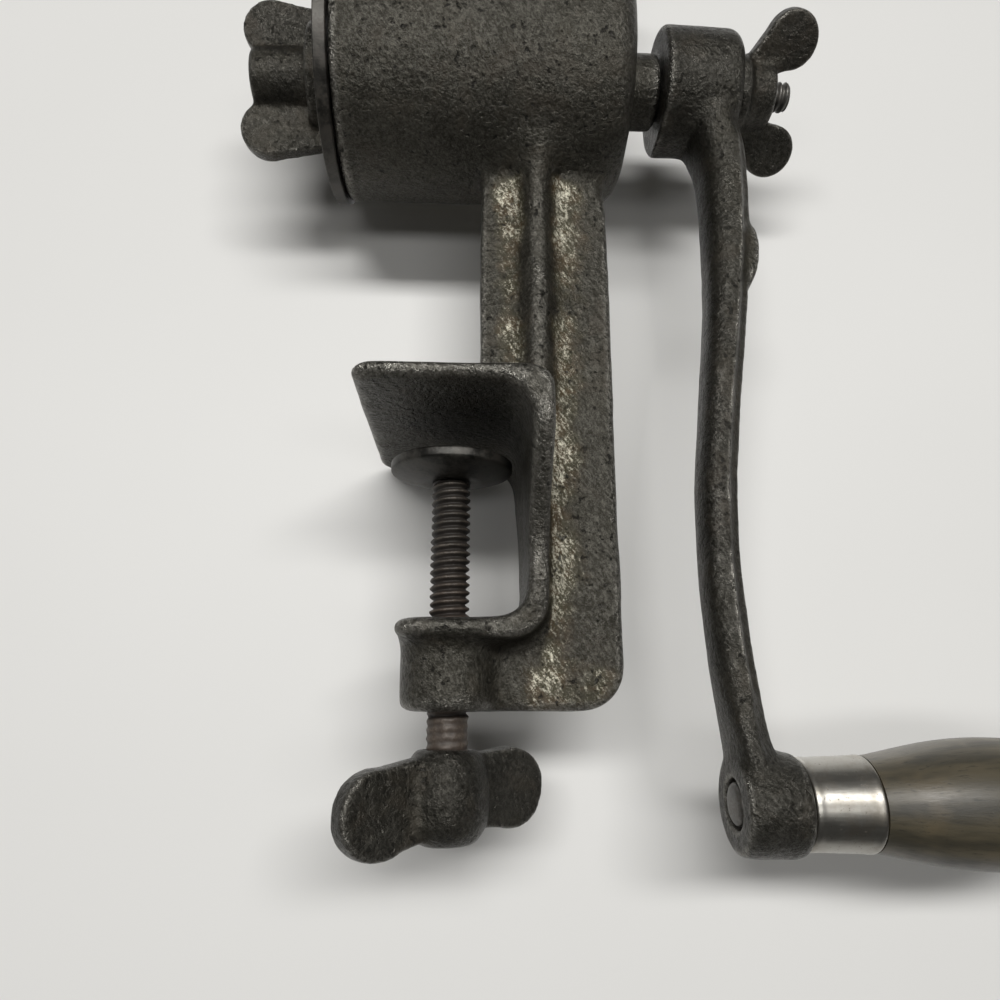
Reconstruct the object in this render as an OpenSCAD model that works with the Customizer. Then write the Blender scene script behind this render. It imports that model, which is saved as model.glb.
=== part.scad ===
// Hand cranked meat grinder with a table clamp, in millimetres.
// The origin is on the table seat: the clamp jaw's underside, on the clamp screw's axis.
// X runs along the barrel towards the crank, Y runs away from the viewer and Z is up.
// Screw threads are drawn as plain cylinders in plain bores.

/* [Barrel] */
// Outside radius of the barrel
barrel_r = 35.2; // [32:0.2:40]
// Thickness of the barrel's wall
barrel_wall = 4.2; // [3.2:0.1:5.4]
// Length of the barrel from the front rim to the rear face
barrel_len = 87.6; // [82:0.1:105]
// Front rim of the barrel, in front of the clamp screw's axis
rim_reach = 35.7; // [30:0.1:42]
// Height of the barrel's axis over the table seat
axis_h = 118.3; // [108:0.1:135]
// Rounding of the barrel's rear edge
end_round = 7; // [4:0.5:9]
// Thickness of the barrel's rear wall
rear_wall = 5; // [4:0.5:8]
// Radius of the bearing boss on the rear wall
boss_r = 11.4; // [10:0.1:14]
// Length of the bearing boss
boss_len = 11.8; // [6:0.1:16]
// Number of shear notches inside the front rim
notch_n = 10; // [6:1:14]

/* [Hopper] */
// Height of the hopper's rim over the barrel's axis
hopper_h = 78; // [70:1:95]
// Radius of the hopper's round ends at the rim
hopper_r = 40; // [36:0.5:46]
// Radius of the hopper's round ends at the waist
waist_r = 26; // [22:0.5:29]
// Half the straight length between the hopper's round ends
hopper_half = 9; // [4:0.5:14]
// Height of the hopper's waist over the barrel's axis
waist_h = 48; // [42:1:56]
// Thickness of the hopper's wall
hopper_wall = 3.4; // [2.6:0.1:4.6]
// Radius of the bead round the hopper's rim
bead_r = 2.8; // [2:0.1:4]

/* [Clamp frame] */
// Reach of the jaw plate in front of the screw's axis
jaw_reach = 24.2; // [18:0.1:30]
// Half the width of the jaw plate
jaw_half = 39; // [32:0.5:46]
// Thickness of the jaw plate
jaw_t = 4.3; // [3.6:0.1:6]
// Clear height of the throat, from jaw to lower lip
throat_h = 53; // [46:0.5:64]
// Inner face of the spine behind the screw's axis
spine_x = 19.6; // [18.6:0.2:24]
// Thickness of the spine's flange
flange_t = 5.4; // [3:0.1:6]
// Half the width of the spine's flange
spine_half = 20; // [15:0.5:25]
// Inside radius of the throat's upper corner
throat_round = 9; // [6:0.5:11]
// Inside radius of the throat's lower corner
lower_round = 7; // [5:0.5:10]
// Outside radius of the flange's upper corner
knee_round = 6; // [3:0.5:8]
// Depth under the jaw at which the flange is down to its own width
flare_depth = 38; // [30:0.5:42]
// Thickness of the lower lip
lip_t = 5.3; // [4:0.1:7]
// Reach of the lower lip in front of the screw's axis
lip_reach = 13.9; // [13.1:0.1:18]
// Half the width of the lower lip
lip_half = 17; // [14:0.5:22]
// Corner radius of the jaw plate and the lip
plate_round = 6; // [5:0.5:9]
// Thickness of the post's and the spine's web
web_t = 7; // [5:0.2:9]
// Outer edge of the web behind the screw's axis
web_x = 45.8; // [42:0.1:51]
// Front edge of the post behind the screw's axis
post_x = 7.6; // [4:0.1:12]
// Outer corner radius of the web
web_round = 12; // [10:0.5:18]
// Depth of the post's rib from the middle plane
rib_depth = 10; // [7:0.2:13]
// Width of the post's rib at its edge
rib_w = 4.6; // [3.5:0.1:7]
// Radius of the screw boss
screw_boss_r = 12.7; // [10:0.1:12.8]
// Depth of the screw boss under the throat
screw_boss_h = 22.9; // [18:0.1:28]

/* [Feed worm] */
// Radius of the worm's core at the front
core_front_r = 16; // [13:0.5:18]
// Radius of the worm's core at the rear
core_rear_r = 12; // [10.5:0.5:14]
// Clearance of the flight in the barrel
flight_gap = 0.5; // [0.3:0.1:1.2]
// Turns of the worm's flight
flight_turns = 2.75; // [2:0.25:3.5]
// Axial thickness of the flight at its edge
flight_edge = 4.2; // [3:0.2:6]
// Axial thickness of the flight at its root
flight_root = 8.4; // [7:0.2:11]
// Thickness of the thrust washer
washer_t = 2; // [1.2:0.1:3]
// Radius of the thrust washer
washer_r = 14; // [12:0.5:18]

/* [Shaft] */
// Radius of the shaft's core in the worm
shaft_r = 7; // [6:0.1:7.2]
// Radius of the rear journal
journal_r = 7.5; // [7.3:0.1:8.4]
// Width across the flats of the rear square
rear_sq = 11.6; // [10:0.1:12]
// Width across the flats of the front square
front_sq = 9.4; // [8.4:0.1:9.8]
// Radius of the rear stud
rear_stud_r = 4.6; // [4:0.1:5.2]
// Radius of the front stud
front_stud_r = 4.6; // [4:0.1:4.9]
// Radial running clearance of shafts and screws
run = 0.06; // [0.03:0.01:0.09]
// Clearance on each side of a square drive
sq_gap = 0.08; // [0.05:0.01:0.2]
// Clearance between faces of pieces that move
face_gap = 0.2; // [0.1:0.05:0.3]

/* [Cutter] */
// Radius of the cutter plate
cutter_r = 36.1; // [33:0.1:41]
// Thickness of the cutter plate
cutter_t = 3.7; // [2.6:0.1:5]
// Radius of the cutter's hub
cutter_hub_r = 11; // [9:0.2:13]
// Number of windows between the cutter's blades
window_n = 8; // [5:1:10]
// Width of each window
window_w = 9; // [6:0.2:10]

/* [Front thumb nut] */
// Radius of the nut's flange
fnut_flange_r = 17; // [14:0.2:19]
// Thickness of the nut's flange
fnut_flange_t = 6.4; // [4:0.1:8]
// Radius of the nut's hub
fnut_hub_r = 9.6; // [8:0.1:11]
// Length of the nut over all
fnut_len = 28.8; // [25:0.1:32]
// Step from the lobes' tips back to the hub's end
fnut_step = 3.8; // [0.5:0.1:4]
// Radius of each wing's lobe
fnut_lobe_r = 9.1; // [7.5:0.1:11]
// Distance from the axis to each lobe's centre
fnut_lobe_y = 16.4; // [14:0.2:22]
// Thickness of the wings
fnut_wing_t = 5.2; // [3.6:0.1:7]
// Turn of the wings about the axis
fnut_turn = 12; // [0:1:180]

/* [Crank] */
// Distance from the barrel's axis to the grip's axis
crank_throw = 216.6; // [195:0.2:235]
// Radius of the crank's hub
hub_r = 19.2; // [17:0.1:22]
// Length of the crank's hub
hub_len = 24.5; // [22:0.1:27]
// Rounding of the hub's outer edge
hub_round = 3.6; // [2:0.1:6]
// Rounding of the hub's inner edge
hub_edge = 1.4; // [0.6:0.1:3]
// Radius of the eye that holds the grip
eye_r = 12.7; // [12:0.1:15]
// Radius of the eye's inner face
eye_face_r = 11.5; // [9.5:0.1:11.8]
// Length of the eye
eye_len = 16.2; // [14:0.1:19]
// Offset of the eye from the hub's inner face
eye_off = 8.3; // [6:0.1:11]
// Radius of the raised boss on the arm's outer face
pad_boss_r = 6.4; // [4:0.1:7]
// Length between the ends of the raised boss
pad_boss_len = 11; // [8:0.5:20]
// Height of the raised boss over the arm's panel
pad_boss_t = 2.2; // [1:0.1:3]
// Height of the panel on the arm's outer face
panel_t = 2.6; // [1.4:0.1:3.2]
// Width of that panel as a share of the arm's width
panel_share = 0.62; // [0.4:0.02:0.8]

/* [Crank thumb nut] */
// Radius of the nut's collar
cnut_collar_r = 12; // [10:0.1:14]
// Thickness of the nut's collar
cnut_collar_t = 4; // [2.5:0.1:5]
// Radius of the nut's hub
cnut_hub_r = 10; // [8.5:0.1:11]
// Length of the nut's hub over all
cnut_len = 12.7; // [12:0.1:18]
// Radius of each wing's lobe
cnut_lobe_r = 8.2; // [7.5:0.1:11]
// Distance from the axis to each lobe's centre
cnut_lobe_y = 16; // [14:0.1:20]
// Distance of each lobe's centre from the nut's seat
cnut_lobe_x = 16.4; // [12:0.1:18]
// Thickness of the wings
cnut_wing_t = 5; // [3.6:0.1:7]
// Turn of the wings about the axis
cnut_turn = 50; // [0:1:180]
// Length of the rear stud past the nut
stud_past = 6.2; // [3:0.1:8]

/* [Grip] */
// Radius of the grip's ferrule
ferrule_r = 11.3; // [10.5:0.1:12.5]
// Length of the ferrule
ferrule_len = 17.2; // [12:0.1:24]
// Wall of the ferrule
ferrule_wall = 0.9; // [0.6:0.1:1.4]
// Growth of the ferrule's radius towards the wood
ferrule_flare = 0.5; // [0:0.1:1]
// Length of the grip with its ferrule
grip_len = 92; // [80:1:110]
// Largest radius of the wooden grip
grip_r = 16; // [14:0.2:18]
// Radius of the grip's spindle
spindle_r = 3.6; // [3:0.1:4.4]
// Radius of the spindle's head
spindle_head_r = 5.3; // [4.8:0.1:6]
// Height of the spindle's head
spindle_head_t = 3; // [1.8:0.1:3.4]
// Height of the spindle's head over the eye's face
head_proud = 0.6; // [0.2:0.1:1]
// Room round the spindle's head in the eye
head_room = 1; // [0.3:0.1:1.4]
// Radius of the washer at the grip's end
end_washer_r = 7; // [6:0.1:8]
// Thickness of the washer at the grip's end
end_washer_t = 1.4; // [1:0.1:2]

/* [Clamp screw] */
// Radius of the clamp screw
screw_r = 5.55; // [5:0.05:6.4]
// Gap from the jaw to the pad as drawn
pad_drop = 9.5; // [6:0.1:20]
// Radius of the pad
pad_r = 16.8; // [14:0.1:17.6]
// Height of the pad's rim
pad_rim = 2.8; // [2:0.1:4]
// Depth of the pad's cone under its rim
pad_cone = 3; // [2:0.1:5]
// Depth of the dish in the pad's top
pad_dish = 2.2; // [1.6:0.1:2.6]
// Radius of the screw's neck in the pad
neck_r = 3.6; // [3:0.1:4.4]
// Length of the screw from the pad to the thumb piece
screw_len = 69.7; // [62:0.1:84]
// Height of the thumb piece's hub
wing_hub_h = 22.4; // [20:0.1:27]
// Largest radius of the thumb piece's hub
wing_hub_r = 10.8; // [9:0.1:12]
// Span of the thumb piece
wing_span = 60.5; // [54:0.5:74]
// Height of the wings
wing_h = 20.4; // [18:0.1:24]
// Thickness of the wings
wing_t = 6; // [4:0.1:8]
// Turn of the thumb piece about the screw
wing_turn = 37; // [0:0.1:180]
// Droop of the near wing and lift of the far one
wing_droop = 1.7; // [0:0.1:2.6]

/* [Hidden] */
$fn = 48;
eps = 0.01;

// Stations along the barrel's axis
rim_x = -rim_reach;
rear_x = rim_x + barrel_len;
wall_x = rear_x - rear_wall;
boss_x = rear_x + boss_len;
bore_r = barrel_r - barrel_wall;
hopper_x = (rim_x + rear_x) / 2 + 2;
cutter_x1 = rim_x - face_gap;
cutter_x0 = cutter_x1 - cutter_t;
worm_x0 = rim_x + 2.7;
cutter_hub_x1 = worm_x0 - face_gap;
washer_x1 = wall_x - face_gap;
worm_x1 = washer_x1 - washer_t;
fnut_x1 = cutter_x0 - face_gap;
fnut_x0 = fnut_x1 - fnut_len;
hub_x0 = boss_x + face_gap;
journal_x1 = boss_x + face_gap / 2;
hub_x1 = hub_x0 + hub_len;
cnut_x0 = hub_x1 + face_gap;
cnut_x1 = cnut_x0 + cnut_len;
rear_stud_x1 = cnut_x1 + stud_past;
front_stud_x0 = fnut_x0 + fnut_step + 1.5;

// Stations of the grip
eye_x0 = hub_x0 + eye_off;
eye_x1 = eye_x0 + eye_len;
eye_z = axis_h - crank_throw;
head_sink = spindle_head_t - head_proud;
grip_x0 = eye_x1 + face_gap;
ferrule_x1 = grip_x0 + ferrule_len;
grip_x1 = grip_x0 + grip_len;
end_washer_x1 = grip_x1 + face_gap + end_washer_t;

// Stations of the clamp screw
pad_z1 = -pad_drop;
pad_z0 = pad_z1 - pad_rim - pad_cone;
dish_z = pad_z1 - pad_dish;
screw_z1 = pad_z0 - face_gap;
hub_z1 = pad_z0 - screw_len;
hub_z0 = hub_z1 - wing_hub_h;
wing_z = (hub_z0 + hub_z1) / 2 - 0.6;
boss_z = -throat_h - screw_boss_h;
open_x = -2 * jaw_reach;

// Crank arm: share of the throw, inner face, outer face and half width,
// the faces measured from the hub's inner face.
ARM = [
    [0.000, 10.0, 23.4, 13.5],
    [0.055, 9.6, 23.6, 13.2],
    [0.080, 9.6, 23.9, 12.8],
    [0.100, 10.8, 24.3, 12.2],
    [0.120, 12.0, 24.6, 11.6],
    [0.150, 12.6, 24.8, 10.8],
    [0.200, 12.7, 24.8, 9.8],
    [0.280, 12.2, 23.6, 9.2],
    [0.345, 11.6, 22.2, 8.8],
    [0.420, 10.0, 20.0, 8.4],
    [0.496, 7.9, 17.4, 8.2],
    [0.609, 5.2, 14.4, 8.2],
    [0.715, 4.3, 13.2, 8.2],
    [0.813, 5.2, 14.0, 8.4],
    [0.870, 6.3, 15.2, 8.8],
    [0.910, 7.3, 16.4, 9.4],
    [0.935, 8.1, 17.8, 9.8],
    [0.960, 8.8, 19.8, 10.4],
    [1.000, 9.6, 21.6, 10.6]
];
ARM_STEPS = 40;
ARM_SIDES = 20;
pad_boss_s = 0.281;

// Steps of the worm's flight in one turn
FLIGHT_STEPS = 36;

// Places children on the barrel's axis, their Z along X.
module on_axis(x) {
    translate([x, 0, axis_h]) rotate([0, 90, 0]) children();
}

// Places children on the grip's axis, their Z along X.
module on_grip(x) {
    translate([x, 0, eye_z]) rotate([0, 90, 0]) children();
}

// Cylinder along Z with both rims rounded to a torus.
module soft_cylinder(r, h, fillet) {
    translate([0, 0, fillet]) cylinder(r = r, h = h - 2 * fillet);
    cylinder(r = r - fillet, h = h);
    for (z = [fillet, h - fillet])
        translate([0, 0, z]) rotate_extrude()
            translate([r - fillet, 0]) circle(r = fillet);
}

// Plate over X from x0 to x1 with bullnose edges on three sides.
module bull_plate(x0, x1, half, t) {
    r = t / 2;
    corner = max(plate_round, t + 0.1);
    translate([x0 + corner, -half + r, 0]) cube([x1 - x0 - corner, 2 * half - t, t]);
    translate([x0 + r, -half + corner, 0]) cube([x1 - x0 - r, 2 * (half - corner), t]);
    translate([x0 + r, -half + corner, r]) rotate([-90, 0, 0])
        cylinder(r = r, h = 2 * (half - corner));
    for (s = [-1, 1]) {
        translate([x0 + corner, s * (half - r), r]) rotate([0, 90, 0])
            cylinder(r = r, h = x1 - x0 - corner);
        translate([x0 + corner, s * (half - corner), r]) {
            translate([0, 0, -r]) cylinder(r = corner - r, h = t);
            rotate_extrude() translate([corner - r, 0]) circle(r = r);
        }
    }
}

// Oblong funnel between two heights over the barrel's axis.
module funnel(r_low, r_high, h_low, h_high) {
    for (s = [-1, 1])
        translate([hopper_x + s * hopper_half, 0, axis_h + h_low])
            cylinder(r1 = r_low, r2 = r_high, h = h_high - h_low);
    translate([hopper_x - hopper_half, 0, axis_h]) rotate([90, 0, 90])
        linear_extrude(2 * hopper_half)
            polygon([[-r_low, h_low], [r_low, h_low], [r_high, h_high], [-r_high, h_high]]);
}

module hopper_bead() {
    r = hopper_r - bead_r / 2;
    for (s = [-1, 1]) {
        translate([hopper_x + s * hopper_half, 0, axis_h + hopper_h])
            rotate([0, 0, -90 * s]) rotate_extrude(angle = 180)
                translate([r, 0]) circle(r = bead_r);
        translate([hopper_x - hopper_half, s * r, axis_h + hopper_h])
            rotate([0, 90, 0]) cylinder(r = bead_r, h = 2 * hopper_half);
    }
}

module barrel_outside() {
    on_axis(rim_x) cylinder(r = barrel_r, h = barrel_len - end_round);
    on_axis(rim_x) cylinder(r = barrel_r - end_round, h = barrel_len);
    on_axis(rear_x - end_round) rotate_extrude()
        translate([barrel_r - end_round, 0]) circle(r = end_round);
    on_axis(rear_x - eps) cylinder(r = boss_r, h = boss_len + eps);
}

// Side view of a box open at the left, with its own radius at each right corner.
module corner_box(x0, x1, z0, z1, low_r, top_r) {
    r = max(low_r, top_r);
    translate([x0, z0]) square([x1 - r - x0, z1 - z0]);
    translate([x1 - r - eps, z0 + low_r]) square([r + eps, z1 - z0 - low_r - top_r]);
    translate([x1 - r - eps, z0]) square([r - low_r + eps, low_r + eps]);
    translate([x1 - r - eps, z1 - top_r - eps]) square([r - top_r + eps, top_r + eps]);
    if (low_r > 0) translate([x1 - low_r, z0 + low_r]) circle(r = low_r);
    if (top_r > 0) translate([x1 - top_r, z1 - top_r]) circle(r = top_r);
}

// Side view of the web: post, spine and lower arm in one plate.
module web_outline() {
    top = axis_h - bore_r + 4;
    difference() {
        union() {
            translate([post_x, 0]) square([web_x - post_x, top]);
            corner_box(0, web_x, boss_z, 1, web_round, 0);
        }
        corner_box(open_x, spine_x + flange_t / 2, -throat_h - lip_t / 2, jaw_t / 2,
                   lower_round, throat_round);
    }
}

// Half width of the flange at a depth under the jaw, easing from jaw to spine.
function flange_half(depth) = let(
    t = min(1, max(0, (flare_depth - depth) / (flare_depth - 6))))
    spine_half + (jaw_half - spine_half) * t * t * (3 - 2 * t);

// Flange along the throat, wide at the jaw and narrow down the spine.
module spine_flange() {
    x0 = spine_x - throat_round - 1;
    depths = concat([-jaw_t - 1], [for (i = [0 : 16]) 6 + (flare_depth - 6) * i / 16],
                    [throat_h - 2 * lip_t]);
    side = [for (d = depths) [flange_half(d), -d]];
    foot = [[lip_half, -throat_h], [lip_half, -throat_h - lip_t - 1]];
    right = concat(side, foot);
    left = [for (i = [len(right) - 1 : -1 : 0]) [-right[i][0], right[i][1]]];
    intersection() {
        rotate([90, 0, 0]) translate([0, 0, -jaw_half]) linear_extrude(2 * jaw_half)
            difference() {
                corner_box(x0, spine_x + flange_t, -throat_h - lip_t, jaw_t,
                           lower_round + 2, knee_round);
                corner_box(open_x, spine_x, -throat_h, 0, lower_round, throat_round);
            }
        translate([x0 - 1, 0, 0]) rotate([90, 0, 90]) linear_extrude(web_x)
            polygon(concat(right, left));
    }
}

// Rib on both faces of the post, flaring out under the barrel.
module post_rib() {
    mid_x = (post_x + web_x) / 2 - 2.6;
    top = axis_h - bore_r + 6;
    flare = 40;
    flare_y = rib_depth + flare * 0.25;
    flare_z = axis_h - barrel_r - flare / 2;
    for (s = [0, 1]) mirror([0, s, 0]) {
        translate([mid_x, 0, jaw_t - eps]) linear_extrude(top - jaw_t)
            polygon([[-rib_w - 0.4, 0], [-rib_w - 0.4, -web_t / 2], [-rib_w / 2, -rib_depth],
                     [rib_w / 2, -rib_depth], [rib_w + 0.4, -web_t / 2], [rib_w + 0.4, 0]]);
        translate([mid_x - rib_w / 2, 0, 0]) rotate([90, 0, 90]) linear_extrude(rib_w)
            difference() {
                translate([-flare_y, flare_z]) square([flare_y - rib_depth + 4, top - flare_z]);
                translate([-rib_depth - flare, flare_z]) circle(r = flare);
            }
    }
}

module barrel_inside() {
    on_axis(rim_x - 1) cylinder(r = bore_r, h = wall_x - rim_x + 1);
    on_axis(wall_x - 1) cylinder(r = journal_r + run, h = rear_wall + boss_len + 2);
    funnel(waist_r - hopper_wall - 5, waist_r - hopper_wall, bore_r / 2, waist_h + eps);
    funnel(waist_r - hopper_wall, hopper_r - hopper_wall, waist_h, hopper_h);
    funnel(hopper_r - hopper_wall, hopper_r - hopper_wall, hopper_h - eps, hopper_h + 4);
    for (i = [0 : notch_n - 1])
        on_axis(rim_x - 1) rotate([0, 0, 360 * i / notch_n])
            translate([0, -2, 0]) cube([bore_r + barrel_wall / 2, 4, 4]);
}

module body_casting() {
    color("dimgray") difference() {
        union() {
            barrel_outside();
            funnel(waist_r - 5, waist_r, bore_r / 2, waist_h);
            funnel(waist_r, hopper_r, waist_h - eps, hopper_h);
            hopper_bead();
            rotate([90, 0, 0]) translate([0, 0, -web_t / 2]) linear_extrude(web_t) web_outline();
            spine_flange();
            post_rib();
            bull_plate(-jaw_reach, spine_x - throat_round, jaw_half, jaw_t);
            translate([0, 0, -throat_h - lip_t])
                bull_plate(-lip_reach, spine_x - throat_round, lip_half, lip_t);
            translate([0, 0, boss_z]) soft_cylinder(screw_boss_r, screw_boss_h, 2);
        }
        barrel_inside();
        translate([0, 0, boss_z - 1]) cylinder(r = screw_r + run, h = screw_boss_h + 2);
    }
}

// Square bar along the axis with its corners turned to a radius.
module square_end(x0, x1, side, corner_r) {
    on_axis(x0) intersection() {
        translate([-side / 2, -side / 2, 0]) cube([side, side, x1 - x0]);
        cylinder(r = corner_r, h = x1 - x0);
    }
}

module worm_shaft() {
    color("silver") {
        on_axis(front_stud_x0) cylinder(r = front_stud_r, h = cutter_x0 - front_stud_x0 + eps);
        square_end(cutter_x0, worm_x0 + eps, front_sq, front_sq * 0.66);
        on_axis(worm_x0) cylinder(r = shaft_r, h = worm_x1 - worm_x0 + eps);
        on_axis(worm_x1) cylinder(r = journal_r, h = journal_x1 - worm_x1);
        square_end(journal_x1 - eps, hub_x1 - 0.6, rear_sq, journal_r);
        on_axis(hub_x1 - 0.6 - eps) cylinder(r = rear_stud_r, h = rear_stud_x1 - hub_x1 + 0.6);
    }
}

// Centre of the flight along the axis, closing up towards the front.
function flight_x(t) =
    worm_x1 - flight_root / 2 - (worm_x1 - worm_x0 - flight_root) * (1.25 * t - 0.25 * t * t);

function core_r(x) =
    core_rear_r + (core_front_r - core_rear_r) * (worm_x1 - x) / (worm_x1 - worm_x0);

// One section of the flight: root, edge, edge, root. The root lies on the core.
function flight_ring(t) = let(
    a = 360 * flight_turns * t,
    x = flight_x(t),
    chord = cos(180 / FLIGHT_STEPS),
    seat = 0.02,
    h = flight_root / 2,
    r1 = bore_r - flight_gap)
    [for (p = [[core_r(x + h) / chord + seat, h], [r1, flight_edge / 2],
               [r1, -flight_edge / 2], [core_r(x - h) / chord + seat, -h]])
        [x + p[1], p[0] * sin(a), axis_h + p[0] * cos(a)]];

module worm_flight() {
    steps = round(flight_turns * FLIGHT_STEPS);
    points = [for (i = [0 : steps]) each flight_ring(i / steps)];
    sides = [for (i = [0 : steps - 1], k = [0 : 3]) let(
        a = 4 * i + k,
        b = 4 * i + (k + 1) % 4)
        each [[a, b, b + 4], [a, b + 4, a + 4]]];
    last = 4 * steps;
    caps = [[0, 2, 1], [0, 3, 2], [last, last + 1, last + 2], [last, last + 2, last + 3]];
    color("gray") polyhedron(points, concat(sides, caps));
}

module worm_core() {
    color("gray") on_axis(worm_x0) difference() {
        cylinder(r1 = core_front_r, r2 = core_rear_r, h = worm_x1 - worm_x0);
        translate([0, 0, -1]) cylinder(r = shaft_r, h = worm_x1 - worm_x0 + 2);
    }
}

module thrust_washer() {
    color("goldenrod") on_axis(worm_x1 + face_gap / 2) difference() {
        cylinder(r = washer_r, h = washer_t);
        translate([0, 0, -1]) cylinder(r = journal_r + run, h = washer_t + 2);
    }
}

module cutter_plate() {
    inner = cutter_hub_r + window_w / 2 + 1.5;
    outer = bore_r - window_w / 2 - 1;
    color("lightsteelblue") difference() {
        union() {
            on_axis(cutter_x0) cylinder(r = cutter_r, h = cutter_t);
            on_axis(cutter_x0) cylinder(r = cutter_hub_r, h = cutter_hub_x1 - cutter_x0);
        }
        for (i = [0 : window_n - 1])
            on_axis(cutter_x0 - 1) rotate([0, 0, 360 * i / window_n])
                linear_extrude(cutter_t + 2) {
                    translate([outer, 0]) circle(d = window_w);
                    polygon([[inner, -window_w / 4], [outer, -window_w / 2],
                             [outer, window_w / 2], [inner, window_w / 4]]);
                    translate([inner, 0]) circle(d = window_w / 2);
                }
        square_end(cutter_x0 - 1, worm_x0 + 1, front_sq + 2 * sq_gap, front_sq);
    }
}

module front_thumb_nut() {
    lobe_x = fnut_len - fnut_lobe_r;
    hub_end = fnut_x0 + fnut_step;
    color("darkgray") difference() {
        union() {
            on_axis(fnut_x1 - fnut_flange_t) soft_cylinder(fnut_flange_r, fnut_flange_t, 1);
            on_axis(hub_end) soft_cylinder(fnut_hub_r, fnut_x1 - 1 - hub_end, 1.6);
            translate([fnut_x1, 0, axis_h]) rotate([fnut_turn + 90, 0, 0])
                translate([0, 0, -fnut_wing_t / 2]) linear_extrude(fnut_wing_t) {
                    for (s = [-1, 1]) translate([-lobe_x, s * fnut_lobe_y]) circle(r = fnut_lobe_r);
                    polygon([[-0.4, -fnut_lobe_y - 5.5], [-0.4, fnut_lobe_y + 5.5],
                             [-lobe_x, fnut_lobe_y + fnut_lobe_r],
                             [-lobe_x, -fnut_lobe_y - fnut_lobe_r]]);
                }
        }
        on_axis(fnut_x0 - 1) cylinder(r = front_stud_r + run, h = fnut_len + 2);
    }
}

// Arm sizes at a share of the throw, eased between the stations.
function arm_col(s, c) = let(
    table = [for (row = ARM) [row[0], row[c]]],
    d = 0.02)
    (lookup(s - d, table) + 2 * lookup(s, table) + lookup(s + d, table)) / 4;

function bow(v) = sign(v) * pow(abs(v), 0.72);

// One rounded section of the arm, without its panel.
function arm_ring(s) = let(
    x0 = arm_col(s, 1),
    x1 = arm_col(s, 2) - panel_t,
    w = arm_col(s, 3))
    [for (k = [0 : ARM_SIDES - 1]) let(a = 360 * k / ARM_SIDES)
        [hub_x0 + (x0 + x1) / 2 + bow(cos(a)) * (x1 - x0) / 2,
         bow(sin(a)) * w,
         axis_h - s * crank_throw]];

// One section of the panel on the arm's outer face, with its corners cut.
function panel_ring(s) = let(
    x1 = hub_x0 + arm_col(s, 2),
    x0 = x1 - panel_t - 1.8,
    w = arm_col(s, 3) * panel_share,
    cut = panel_t * 0.3,
    z = axis_h - s * crank_throw)
    [[x1, w - cut, z], [x1 - cut, w, z], [x0, w, z],
     [x0, -w, z], [x1 - cut, -w, z], [x1, cut - w, z]];

// Solid through a row of sections with the same number of points.
module loft(rings) {
    n = len(rings[0]);
    rows = len(rings) - 1;
    sides = [for (i = [0 : rows - 1], k = [0 : n - 1]) let(
        a = n * i + k,
        b = n * i + (k + 1) % n)
        each [[a, b, b + n], [a, b + n, a + n]]];
    caps = [[for (k = [0 : n - 1]) n - 1 - k], [for (k = [0 : n - 1]) n * rows + k]];
    polyhedron([for (ring = rings) each ring], concat(sides, caps));
}

module arm_bar() {
    loft([for (i = [0 : ARM_STEPS]) arm_ring(i / ARM_STEPS)]);
    loft([for (i = [0 : ARM_STEPS]) panel_ring(0.06 + 0.915 * i / ARM_STEPS)]);
}

// Oblong boss on the panel, its top an arc along the arm.
module arm_boss() {
    z = axis_h - pad_boss_s * crank_throw;
    x0 = hub_x0 + arm_col(pad_boss_s, 1) + 2;
    h = hub_x0 + arm_col(pad_boss_s, 2) + pad_boss_t - x0;
    half = pad_boss_len / 2 + pad_boss_r;
    arc = (half * half + pad_boss_t * pad_boss_t) / (2 * pad_boss_t);
    lean = atan2(arm_col(pad_boss_s - 0.04, 2) - arm_col(pad_boss_s + 0.04, 2),
                 0.08 * crank_throw);
    translate([x0, 0, z]) rotate([0, 90 + lean, 0]) intersection() {
        linear_extrude(h) {
            for (s = [-1, 1]) translate([s * pad_boss_len / 2, 0]) circle(r = pad_boss_r);
            square([pad_boss_len, 2 * pad_boss_r], center = true);
        }
        translate([0, 2 * pad_boss_r, h - arc - 0.01]) rotate([90, 0, 0])
            cylinder(r = arc, h = 4 * pad_boss_r);
    }
}

// The crank's hub, crisp on its inner edge and round on its outer one.
module crank_hub() {
    r1 = hub_r - 0.5;
    on_axis(hub_x0) rotate_extrude() polygon(concat(
        [[0, 0]],
        [for (a = [0 : 30 : 90]) [hub_r - hub_edge * (1 - sin(a)), hub_edge * (1 - cos(a))]],
        [for (a = [0 : 15 : 90]) [r1 - hub_round * (1 - cos(a)), hub_len - hub_round * (1 - sin(a))]],
        [[0, hub_len]]));
}

module crank_eye() {
    r = eye_r - eye_face_r;
    on_grip(eye_x0) rotate_extrude() polygon(concat(
        [[0, 0]],
        [for (a = [0 : 15 : 90]) [eye_face_r + r * sin(a), 6 * (1 - cos(a))]],
        [for (a = [0 : 15 : 90]) [eye_r - r * (1 - cos(a)), eye_len - 4 + 4 * sin(a)]],
        [[0, eye_len]]));
}

module crank_arm() {
    color("slategray") difference() {
        union() {
            crank_hub();
            arm_bar();
            arm_boss();
            crank_eye();
        }
        square_end(hub_x0 - 1, hub_x1 + 1, rear_sq + 2 * sq_gap, journal_r + sq_gap);
        on_grip(eye_x0 - 1) cylinder(r = spindle_r, h = eye_len + 2);
        on_grip(eye_x0 - 1) cylinder(r = spindle_head_r + head_room, h = 1 + head_sink);
    }
}

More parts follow.
